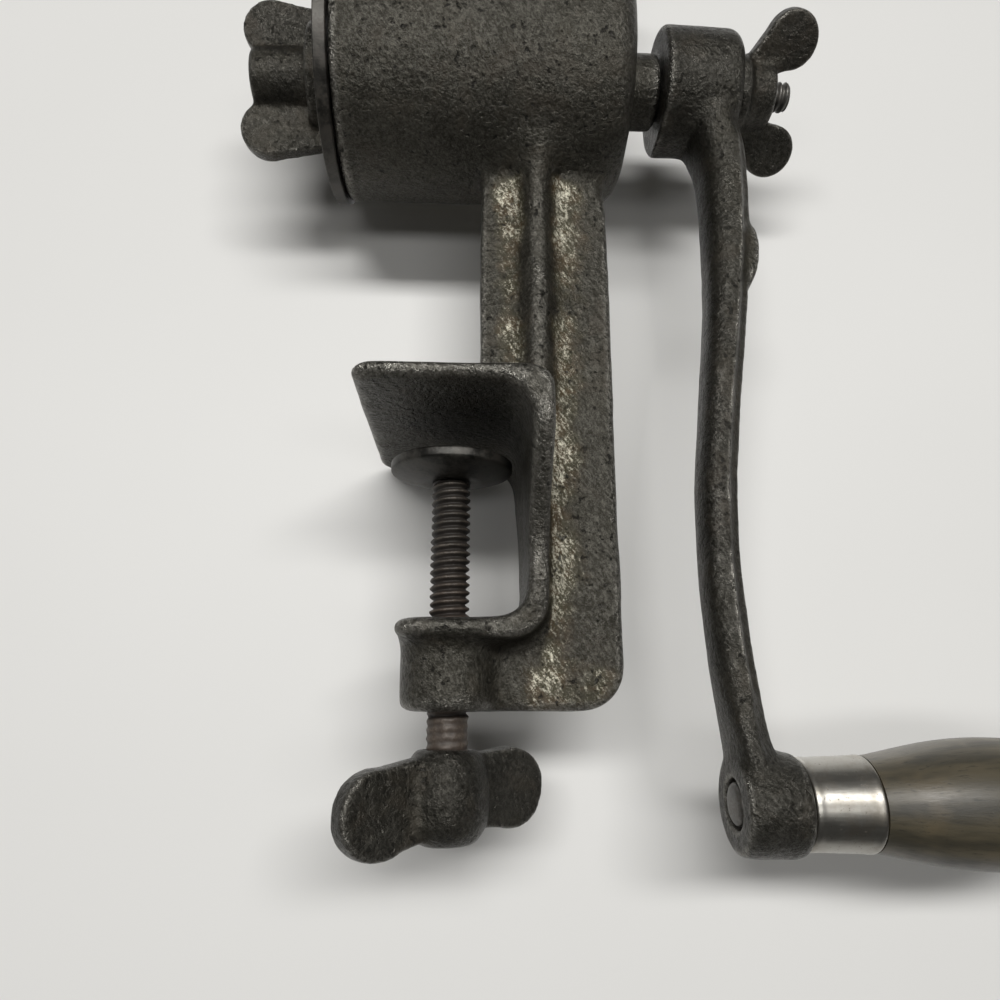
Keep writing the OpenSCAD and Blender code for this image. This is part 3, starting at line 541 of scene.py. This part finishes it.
foot = np.array(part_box("clamp_screw")[0])[2] / MM
rows = np.arange(foot, THREAD_TOP + 0.01, PITCH / 18)
angles = np.linspace(0, 2 * np.pi, 56, endpoint=False)
s, a = np.meshgrid(rows, angles, indexing="ij")
fade = ramp(s, THREAD_TOP, -1.2) * ramp(s, THREAD_END, 1.5)
caked = 0.8 * ramp(s, -74, -4)
r = SCREW_R - DEPTH * (1 - ridge(s, a)) * fade * (1 - caked) - 0.35 * (1 - ramp(s, THREAD_TOP, -0.8))
neck_s, neck_a = np.meshgrid(NECK[:, 0], angles, indexing="ij")
s, a = np.vstack([s, neck_s]), np.vstack([a, neck_a])
r = np.vstack([r, np.repeat(NECK[:, 1:], len(angles), axis=1)])
points = ON_SCREW(s, r, a).reshape(-1, 3)
rust_bite = 0.3 * lattice_noise(points, 1.1, 21) + 0.2 * lattice_noise(points, 3.0, 22)
r = r - rust_bite.reshape(r.shape) * (s < THREAD_TOP - 0.1)
screw = put("screw", ON_SCREW(s, r, a).reshape(-1, 3), tube_faces(len(s), len(angles)), 60)
face_out(screw)
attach(screw, "screw")
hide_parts("clamp_screw")
print("screw:", len(rows), "rows,", round((rows[-1] - rows[0]) / PITCH, 1), "turns of thread")

# %% [markdown]
# ## Shaft and worm
# The shaft is one bar with a stud at each end, a square for the cutter and a square for the
# crank. All of it can be written as a radius over distance and angle: a square of half width h
# has the radius h / max(|cos a|, |sin a|), cut off by the bar's own radius. The worm's flight is a
# hill on that same kind of grid, whose middle follows the helix.


# %% Shaft
def square_bar(a, half, most):
    """Radius of a square bar with its corners turned down to most."""
    return np.minimum(half / np.maximum(np.abs(np.cos(a)), np.abs(np.sin(a))), most)


# where along X, in mm, the front stud, cutter's square, worm's bar, journal, crank's square and rear
# stud begin, and where the shaft ends
STARTS = np.array([-63.3, -39.6, -33.0, 44.7, 63.8, 87.8, 107.5])

stations = np.unique(np.concatenate([
    np.arange(STARTS[0], STARTS[1], PITCH / 12), STARTS[1:-1] - 0.01, STARTS[1:-1] + 0.01,
    np.linspace(-39, -33, 5), np.linspace(-32, 44, 20), np.linspace(45, 63, 8), np.linspace(64, 87, 8),
    np.arange(87.82, 107.45, PITCH / 16), STARTS[-1:]]))
angles = np.linspace(0, 2 * np.pi, 64, endpoint=False)
s, a = np.meshgrid(stations, angles, indexing="ij")
stud = 4.58 - 0.8 * (1 - ridge(s, a))
front = np.minimum(stud, 3.6 + ramp(s, STARTS[0], 1.0))
rear = np.minimum(stud, 3.5 + 1.1 * ramp(s, STARTS[-1], -1.1) ** 0.5)
r = np.select([s < start for start in STARTS[1:-1]],
              [front, square_bar(a, 4.7, 6.2), 7.0 + 0 * s, 7.5 + 0 * s, square_bar(a, 5.8, 7.5)], rear)
shaft = put("shaft", ON_BARREL(s, r, a).reshape(-1, 3), tube_faces(len(s), len(angles)), 40)
face_out(shaft)
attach(shaft, "worm")
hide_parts("worm_shaft")
print("shaft:", len(stations), "rows")

# %% Worm
# ends along X, turns, the flight's thickness at its root and tip, its radius and the bore, in mm
X0, X1, TURNS, ROOT, TIP, FLIGHT_R, BORE_R = -33.0, 44.7, 2.75, 8.4, 4.2, 30.4, 7.05

stations = np.linspace(X0, X1, 330)
angles = np.linspace(0, 2 * np.pi, 120, endpoint=False)
s, a = np.meshgrid(stations, angles, indexing="ij")
core = 12 + 4 * (X1 - s) / (X1 - X0)
height = np.zeros_like(s)
for lap in range(4):
    t = (a / (2 * np.pi) + lap) / TURNS
    middle = X1 - ROOT / 2 - (X1 - X0 - ROOT) * (1.25 * t - 0.25 * t * t)
    flank = ease(ramp(np.abs(s - middle), ROOT / 2, TIP / 2 - ROOT / 2))
    ends = np.clip(t * TURNS * 12, 0, 1) * np.clip((1 - t) * TURNS * 12, 0, 1)
    height = np.maximum(height, flank * ends * (t <= 1))
r = core + (FLIGHT_R - core) * height
r[0], r[-1] = BORE_R, BORE_R
worm = put("worm", ON_BARREL(s, r, a).reshape(-1, 3), tube_faces(len(s), len(angles)), 50)
face_out(worm)
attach(worm, "worm")
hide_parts("worm_core", "worm_flight")
print("worm:", len(stations), "by", len(angles), "points")

# %% [markdown]
# ## Turned pieces
# Ferrule, grip, spindle, washers and pad are round, so each is a profile turned on a lathe. The
# fillets in the profile catch the light along every rim.


# %% Turned pieces
def washer(name, carry, start, end, inner, outer, fillet):
    """A flat ring from start to end on its axis, with its outer rims rounded."""
    middle = (start + end) / 2
    corners = [(middle, inner), (start, inner), (start, outer), (end, outer), (end, inner), (middle, inner)]
    return lathe(name, carry, smooth_profile(corners, [0.1, fillet, fillet, 0.1])[:-1], 64)


ferrule_profile = smooth_profile(
    [(89.5, 4.1), (88.6, 4.1), (88.6, 10.5), (88.8, 11.1), (89.6, 11.3), (91.0, 11.22),
     (103.6, 11.62), (104.6, 11.77), (105.5, 11.74), (105.8, 11.4), (105.8, 10.96), (105.0, 10.9),
     (89.5, 10.44), (89.5, 4.1)],
    [0.2, 0.3, 0.3, 0.4, 0.6, 0.8, 0.4, 0.4, 0.2, 0.15, 0.1, 0.3])
ferrule = lathe("ferrule", ON_GRIP, ferrule_profile[:-1], 128)
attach(ferrule, "grip")
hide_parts("grip_ferrule")

t = np.linspace(0, 1, 60)
swell = np.sin(np.pi * t ** 0.82) ** 1.5
end_round = 3.8 * (1 - np.cos(np.pi / 2 * ramp(t, 0.86, 0.14)))
wood_profile = np.column_stack([106.0 + 74.6 * t, 11.55 + 4.4 * swell - end_round])
wood_profile = np.vstack([[(89.6, 3.7), (89.6, 10.35), (105.9, 10.8)], wood_profile, [(180.6, 3.7)]])
grip = lathe("grip", ON_GRIP, wood_profile, 96)
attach(grip, "grip")
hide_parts("wooden_grip")

spindle_profile = smooth_profile(
    [(71.62, 0.05), (71.66, 2.4), (72.0, 4.3), (72.7, 5.2), (74.6, 5.28), (74.6, 3.6), (182.2, 3.6),
     (182.2, 5.1), (183.0, 5.0), (183.9, 3.4), (184.1, 0.05)],
    [1.0, 0.6, 0.5, 0.1, 0.05, 0.05, 0.3, 0.5, 0.8])
spindle = lathe("spindle", ON_GRIP, spindle_profile, 64)
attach(spindle, "crank")
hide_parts("handle_spindle")

end_washer = washer("end_washer", ON_GRIP, 180.8, 182.2, 3.62, 7.0, 0.3)
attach(end_washer, "crank")
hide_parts("spindle_washer")

thrust = washer("thrust_ring", ON_BARREL, 44.85, 46.75, 7.58, 14.0, 0.4)
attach(thrust, "worm")
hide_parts("thrust_washer")

pad_profile = smooth_profile(
    [(-13, 3.68), (-15.25, 3.7), (-15.25, 8.0), (-12.75, 15.6), (-12.5, 16.2), (-12.1, 16.72),
     (-9.9, 16.75), (-9.52, 16.2), (-9.52, 14.5), (-11.65, 12.2), (-11.7, 3.68), (-13, 3.68)],
    [0.1, 1.0, 0.4, 0.15, 0.3, 0.3, 0.3, 0.5, 0.8, 0.1])
pad = lathe("pad", ON_SCREW, pad_profile[:-1], 96)
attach(pad, "pad")
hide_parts("clamp_pad")
turned = (ferrule, grip, spindle, end_washer, thrust, pad)
print("turned pieces:", [len(o.data.polygons) for o in turned], "faces")

# %% [markdown]
# ## The cutter plate
# The cutter is a flat stamped disc with windows, so its CAD solid is already right. A copy with
# its triangles merged and a small bevel on its edges catches the light like ground steel.

# %% Cutter plate
mesh = joined_copy("cutter_plate", 1.0)
mesh.materials.clear()
mesh.shade_smooth()
mesh.set_sharp_from_angle(angle=np.radians(35))
cutter = bpy.data.objects.new("cutter", mesh)
bpy.context.scene.collection.objects.link(cutter)
edge_round = cutter.modifiers.new("edges", "BEVEL")
edge_round.width, edge_round.segments = 0.3 * MM, 2
edge_round.limit_method, edge_round.angle_limit = "ANGLE", np.radians(40)
edge_round.harden_normals = False
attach(cutter, "cutter")
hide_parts("cutter_plate")
print("cutter:", len(mesh.polygons), "faces")

# %% [markdown]
# ## Shader maths
# A finish is a sum of masks. Writing them as Python expressions is far easier to read than a
# wired tree, so one class wraps a socket and turns + - * into Math nodes. All other nodes come
# from one method, and colours are mixed by Mix nodes because a Math node would turn them grey.


# %% Sockets as values
class Val:
    """A number on a socket that can be used in expressions."""

    def __init__(self, tree, socket):
        self.tree, self.socket = tree, socket

    def math(self, operation, other=None, flip=False, clamp=False):
        """Adds a Math node for this number and another, the other one first if flip is true."""
        node = self.tree.nodes.new("ShaderNodeMath")
        node.operation, node.use_clamp = operation, clamp
        for slot, value in zip(node.inputs, (other, self) if flip else (self, other)):
            if isinstance(value, Val):
                self.tree.links.new(value.socket, slot)
            elif value is not None:
                slot.default_value = value
        return Val(self.tree, node.outputs[0])

    def __add__(self, other): return self.math("ADD", other)
    def __radd__(self, other): return self.math("ADD", other, True)
    def __sub__(self, other): return self.math("SUBTRACT", other)
    def __rsub__(self, other): return self.math("SUBTRACT", other, True)
    def __mul__(self, other): return self.math("MULTIPLY", other)
    def clamp(self): return self.math("ADD", 0.0, clamp=True)


class Finish:
    """A material whose principled shader is fed by expressions."""

    def __init__(self, name, **constants):
        self.material = bpy.data.materials.new(name)
        self.material.use_nodes = True
        self.tree = self.material.node_tree
        self.shader = self.tree.nodes["Principled BSDF"]
        for key, value in constants.items():
            self.shader.inputs[key.replace("_", " ")].default_value = value

    def node(self, kind, settings=None, out=0, **inputs):
        """Adds a node of that kind, sets its settings, fills its sockets and gives one output.

        A socket goes by its name, or by its number after an i where names repeat."""
        node = self.tree.nodes.new("ShaderNode" + kind)
        for key, value in (settings or {}).items():
            setattr(node, key, value)
        for key, value in inputs.items():
            slot = node.inputs[int(key[1:])] if key[0] == "i" and key[1:].isdigit() else node.inputs[key]
            if isinstance(value, Val):
                self.tree.links.new(value.socket, slot)
            else:
                slot.default_value = value
        return Val(self.tree, node.outputs[out])

    def place(self):
        """Object coordinates, in metres."""
        return self.node("TexCoord", out="Object")

    def noise(self, where, cell, detail=3.0, rough=0.55, stretch=None):
        """Noise from 0 to 1 with features of about cell millimetres."""
        if stretch:
            where = self.node("Mapping", Vector=where, Scale=stretch)
        return self.node("TexNoise", Vector=where, Scale=1000.0 / cell, Detail=detail, Roughness=rough)

    def step(self, value, low, high):
        """0 below low, 1 above high, smooth between."""
        return self.node("MapRange", {"interpolation_type": "SMOOTHSTEP"}, Value=value, i1=low, i2=high)

    def mix(self, factor, first, second):
        """Colour between first and second."""
        sockets = {"i0": factor}
        for key, value in (("i6", first), ("i7", second)):
            sockets[key] = value if isinstance(value, Val) else (*value, 1.0)
        return self.node("Mix", {"data_type": "RGBA"}, out=2, **sockets)

    def attribute(self, name):
        """A number that the mesh carries at each point."""
        return self.node("Attribute", {"attribute_name": name}, out="Fac")

    def feed(self, **sockets):
        """Links values to the shader's sockets."""
        for key, value in sockets.items():
            self.tree.links.new(value.socket, self.shader.inputs[key.replace("_", " ")])

    def bump(self, height, depth, strength):
        """Feeds a height of 0 to 1 that stands for depth millimetres to the shader's normal."""
        self.feed(Normal=self.node("Bump", Height=height, Distance=depth * MM, Strength=strength))


def paint(material, *pieces):
    """Gives pieces their material."""
    for piece in pieces:
        piece.data.materials.append(material)


# %% [markdown]
# ## Old cast iron
# The iron is nearly black with an oily film, and grey where hands have rubbed it. Its edges are
# paler, partly from wear and partly as a painted highlight. It was once
# tinned: the tin is worn off the open faces and left as bright flecks beside the hollows, among
# gold brown rust. Painting that by hand would take days, so the three numbers on the mesh, edge,
# hollow and near, say where it belongs and noise breaks it up. The bump has the waves of the mould,
# the grain of the sand and small dark pits.


# %% Cast iron
def cast_iron(name, dark, pale, tin, seed, rough=0.38, grit=1.0, edge_level=0.5):
    """Old iron, dark in its pores and pale where it is rubbed, with rust and tin flecks near hollows.

    Each mask is noise run through a smooth step. The colour goes from dark to pale by the rubbed
    mask, then brown rust, an olive film, gold stain, flecks of tin, dirt, paler edges and pits are
    laid over it in that order. The paler edges are partly wear and partly a painted highlight.
    Flecks are noise above a level that falls where the tin is thick, so they crowd together there."""
    f = Finish(name, IOR=1.45)
    at = f.node("Mapping", Vector=f.place(), Location=(0.013 * seed, 0.007 * seed, 0.003 * seed))
    cloud = f.noise(at, 24, 3, 0.55)
    blotch = f.noise(at, 7, 4, 0.62)
    lump = f.noise(at, 3.2, 3, 0.55)
    grain = f.noise(at, 1.5, 4, 0.68)
    slanted = f.node("Mapping", Vector=at, Rotation=(0.0, 0.6, 0.0))
    brush = f.noise(slanted, 0.8, 3, 0.6, stretch=(1.0, 1.0, 0.4))
    fine = f.noise(at, 0.45, 4, 0.7)
    edge = f.step(f.attribute("edge"), 0.2 * edge_level, edge_level)
    hollow = f.step(f.attribute("hollow"), 0.05, 0.22)
    near = f.attribute("near")
    pits = f.step(f.noise(at, 1.8, 3, 0.6), 0.58, 0.66) * f.step(blotch, 0.42, 0.58)
    tone = f.step(grain * 0.22 + fine * 0.4 + brush * 0.38, 0.42, 0.6)
    rubbed = (f.step(blotch * 0.6 + cloud * 0.4, 0.38, 0.62) * 0.28 + tone * 0.75 - 0.06).clamp()
    colour = f.mix(rubbed, dark, pale)
    rust = f.step(f.noise(at, 12, 4, 0.65), 0.5, 0.66) * 0.32
    colour = f.mix(rust, colour, (0.034, 0.0235, 0.0125))
    film = f.step(cloud * 0.65 + blotch * 0.35, 0.46, 0.62) * 0.25
    colour = f.mix(film, colour, (0.032, 0.0288, 0.0185))
    patch = f.step(near + (f.noise(at, 9, 4, 0.6) - 0.5) * 1.1, 0.25, 0.85) * tin
    stain = f.mix(f.step(f.noise(at, 5, 3, 0.6), 0.45, 0.6), (0.066, 0.057, 0.027), (0.085, 0.055, 0.022))
    colour = f.mix((patch * 0.75).clamp(), colour, stain)
    specks = f.step(fine * 0.5 + brush * 0.5 + (patch - 0.5) * 0.14, 0.51, 0.66)
    flecks = (specks * patch).clamp()
    colour = f.mix(flecks, colour, (0.62, 0.59, 0.48))
    dirt = (hollow * (0.4 + blotch * 0.9)).clamp()
    colour = f.mix(dirt * 0.85, colour, (0.013, 0.0098, 0.0045))
    # paler edges: partly real wear, partly a painted highlight along every edge
    colour = f.mix((edge * (0.2 + tone * 0.7)).clamp(), colour, (0.26, 0.25, 0.225))
    colour = f.mix(pits * 0.85 * grit, colour, (0.005, 0.0045, 0.0035))
    metal = 0.72 - rust * 0.6 + edge * 0.2 - patch * 0.4 + flecks * 0.5 - dirt * 0.5
    dull = rough + (blotch - 0.5) * 0.3 - (tone - 0.5) * 0.14 - edge * 0.06 + dirt * 0.15 + patch * 0.08
    relief = lump * 0.5 + grain * 0.4 * grit + brush * 0.16 * grit + fine * 0.16 - pits * 0.2 * grit
    f.feed(Base_Color=colour, Metallic=metal.clamp(), Roughness=dull.clamp())
    f.bump(relief, 1.15, 1.0)
    return f.material


iron = cast_iron("iron", (0.025, 0.023, 0.017), (0.092, 0.087, 0.074), 1.0, 1, edge_level=0.36)
small_iron = cast_iron("small_iron", (0.014, 0.0128, 0.0095), (0.066, 0.062, 0.053), 0.05, 5,
                       rough=0.33, grit=0.8, edge_level=0.36)
arm_iron = cast_iron("arm_iron", (0.018, 0.0165, 0.0125), (0.068, 0.0645, 0.0555), 0.08, 9,
                     rough=0.35, grit=0.9, edge_level=0.3)
paint(iron, casting)
paint(small_iron, front_nut, crank_nut, wing)
paint(arm_iron, crank)
print("castings:", [o.name for o in (casting, front_nut, crank_nut, wing, crank)])

# %% [markdown]
# ## Steel, nickel and wood
# The screw is steel that has gone brown in its roots while its crests stay grey. The ferrule is
# nickel plated brass, bright but scuffed. The grip is stained wood whose pores run lengthwise.


# %% Turned metals
def worn_steel(name, bright, dull, brown, rough, seed, rust):
    """Dull steel with blotches of brown, darker in its pores."""
    f = Finish(name, IOR=1.7)
    at = f.node("Mapping", Vector=f.place(), Location=(0.011 * seed, 0.005 * seed, 0.009 * seed))
    blotch = f.noise(at, 5, 4, 0.65)
    grain = f.noise(at, 0.6, 3, 0.6)
    colour = f.mix(f.step(blotch, 0.35, 0.65), dull, bright)
    stain = (f.step(blotch * 0.5 + grain * 0.5, 0.45, 0.62) * rust).clamp()
    colour = f.mix(stain, colour, brown)
    f.feed(Base_Color=colour)
    f.feed(Metallic=(0.8 - stain * 0.7).clamp())
    f.feed(Roughness=(rough + (blotch - 0.5) * 0.25 + stain * 0.2).clamp())
    f.bump(blotch * 0.5 + grain * 0.5, 0.15, 0.7)
    return f.material


steel = worn_steel("steel", (0.17, 0.165, 0.155), (0.07, 0.068, 0.062), (0.05, 0.034, 0.02), 0.4, 2, 0.6)
ground_iron = worn_steel("ground_iron", (0.06, 0.057, 0.051), (0.028, 0.0265, 0.023),
                         (0.03, 0.021, 0.012), 0.42, 4, 0.6)
pad_iron = worn_steel("pad_iron", (0.06, 0.058, 0.052), (0.018, 0.0172, 0.015),
                      (0.03, 0.022, 0.014), 0.42, 6, 0.5)


def rusty_thread(name):
    """Thread steel: crests grey brown, roots nearly black, darker at its top and redder towards its lower
    end.

    The height over the root comes from the radius, and the redness from the height on the screw: the
    redder foot is rust, and the darker top is painted shade from the pad and jaw above it."""
    f = Finish(name, IOR=1.55)
    at = f.place()
    blotch = f.noise(at, 4, 4, 0.65)
    grain = f.noise(at, 0.5, 3, 0.6)
    x, y, z = (f.node("SeparateXYZ", out=axis, Vector=at) for axis in range(3))
    crest = f.step((x * x + y * y).math("SQRT"), 0.0047, 0.0054)
    # darker at the top of the thread: painted shade from the pad and jaw; redder rust lower down
    rust_below_shade_above = (f.step(z, -0.03, -0.052) * 0.7 + (blotch - 0.5) * 0.8).clamp()
    colour = f.mix(rust_below_shade_above, (0.034, 0.0285, 0.022), (0.07, 0.05, 0.0375))
    shine = crest * f.step(grain * 0.4 + blotch * 0.6, 0.45, 0.65) * 0.5
    colour = f.mix(shine.clamp(), colour, (0.16, 0.135, 0.11))
    colour = f.mix((1.0 - crest) * 0.85, colour, (0.009, 0.006, 0.004))
    f.feed(Base_Color=colour)
    f.feed(Metallic=(crest * 0.2).clamp())
    f.feed(Roughness=(0.66 - crest * 0.14 + (grain - 0.5) * 0.2).clamp())
    f.bump(grain * 0.6 + blotch * 0.4, 0.15, 0.7)
    return f.material


def nickel_plate(name):
    """Bright plate with fine scratches along its length, scuffs and a little brown tarnish."""
    f = Finish(name, Metallic=1.0)
    at = f.place()
    cloud = f.noise(at, 7, 4, 0.65)
    scratch = f.noise(at, 0.5, 3, 0.7, stretch=(0.08, 1.0, 1.0))
    pit = f.step(f.noise(at, 0.7, 2), 0.66, 0.72)
    colour = f.mix(f.step(cloud, 0.42, 0.72) * 0.55, (0.35, 0.338, 0.31), (0.19, 0.163, 0.125))
    colour = f.mix(pit * 0.5, colour, (0.12, 0.1, 0.08))
    f.feed(Base_Color=colour)
    f.feed(Roughness=(0.33 + (cloud - 0.5) * 0.25 + pit * 0.3 + (scratch - 0.5) * 0.15).clamp())
    f.bump(scratch * 0.5 + cloud * 0.3 - pit * 0.3, 0.05, 0.6)
    return f.material


def stained_wood(name):
    """Dark stained wood: growth rings stretched along the grip, fine pores and paler rubbed places."""
    f = Finish(name, IOR=1.45, Coat_Roughness=0.35)
    at = f.place()
    rings = f.noise(at, 5, 3, 0.6, stretch=(0.12, 1.0, 1.0))
    pores = f.noise(at, 0.6, 3, 0.7, stretch=(0.06, 1.0, 1.0))
    rub = f.noise(at, 14, 3, 0.6)
    bare = f.step(rub, 0.5, 0.72)
    colour = f.mix(f.step(rings, 0.35, 0.65), (0.03, 0.0265, 0.0175), (0.066, 0.055, 0.034))
    colour = f.mix(bare * 0.4, colour, (0.11, 0.085, 0.05))
    colour = f.mix(f.step(pores, 0.58, 0.68) * 0.6, colour, (0.012, 0.0105, 0.007))
    f.feed(Base_Color=colour)
    f.feed(Roughness=(0.46 + (pores - 0.5) * 0.25 - bare * 0.1).clamp())
    f.feed(Coat_Weight=(0.12 + rub * 0.15).clamp())
    f.bump(1.0 - pores * 0.6 - rings * 0.3, 0.12, 0.7)
    return f.material


paint(steel, shaft, spindle, end_washer, thrust)
paint(ground_iron, worm, cutter)
paint(pad_iron, pad)
paint(rusty_thread("rusty_thread"), screw)
paint(nickel_plate("nickel_plate"), ferrule)
paint(stained_wood("stained_wood"), grip)
print("materials:", sorted(m.name for m in bpy.data.materials if m.users))

# %% [markdown]
# ## Table and light
# The grinder lies on its back on a pale table, so the table is the plane behind it. It lets light
# through from its far side, so that it darkens nothing when the grinder is seen from behind. In the
# photograph the barrel's shadow has two crisp steps but upright pieces have hardly any shadow, and
# that is what two long ceiling lamps do: one a little above the grinder and a weaker one below.

# %% Table
TABLE_Y, HALF, FOOT, HEAD = 42.0, 900, -800, 900  # depth, half width, lower and upper edge in mm
corners = [(-HALF, TABLE_Y, FOOT), (HALF, TABLE_Y, FOOT), (HALF, TABLE_Y, HEAD), (-HALF, TABLE_Y, HEAD)]
table = put("table", np.array(corners) * MM, [[0, 1, 2, 3]])
f = Finish("table_top", Roughness=0.55)
f.feed(Base_Color=f.mix(f.noise(f.place(), 160, 2, 0.5), (0.655, 0.65, 0.635), (0.7, 0.695, 0.68)))
far_side = f.node("NewGeometry", out="Backfacing")
see_through = f.node("MixShader", i0=far_side, i1=Val(f.tree, f.shader.outputs[0]),
                     i2=f.node("BsdfTransparent"))
f.tree.links.new(see_through.socket, f.tree.nodes["Material Output"].inputs["Surface"])
paint(f.material, table)
table.visible_shadow = False

# %% Light
world = bpy.data.worlds.new("studio")
bpy.context.scene.world = world
world.use_nodes = True
sky = world.node_tree.nodes["Background"].inputs
sky["Color"].default_value = (1.0, 0.98, 0.94, 1.0)
sky["Strength"].default_value = 0.06


def lamp(name, place, target, long, wide, watts, colour=(1.0, 1.0, 1.0)):
    """A soft lamp at a place, long in X and wide across, turned to a target, all in millimetres."""
    light = bpy.data.lights.new(name, "AREA")
    light.shape = "RECTANGLE"
    light.energy, light.size, light.size_y, light.color = watts, long * MM, wide * MM, colour
    item = bpy.data.objects.new(name, light)
    bpy.context.scene.collection.objects.link(item)
    back = np.array(place, float) - np.array(target, float)
    back /= np.linalg.norm(back)
    side = np.array([1.0, 0.0, 0.0]) - back[0] * back
    side /= np.linalg.norm(side)
    matrix = np.eye(4)
    matrix[:3, 0], matrix[:3, 1], matrix[:3, 2] = side, np.cross(back, side), back
    matrix[:3, 3] = np.array(place, float) * MM
    item.matrix_world = Matrix(matrix.tolist())


AIM = (40, 0, 20)  # where the lamps in front of the grinder point, in mm
WARM, COOL = (1.0, 0.995, 0.98), (0.97, 0.98, 1.0)
lamp("ceiling", (60, -1950, 620), AIM, 2100, 300, 44, WARM)
lamp("second_ceiling", (60, -1950, -340), AIM, 2100, 300, 8.5, WARM)
lamp("window", (-1500, -800, 60), AIM, 900, 900, 0.4, COOL)
lamp("behind", (40, 700, 900), (40, 0, 30), 900, 900, 14)
bpy.context.scene.view_settings.view_transform = "Standard"
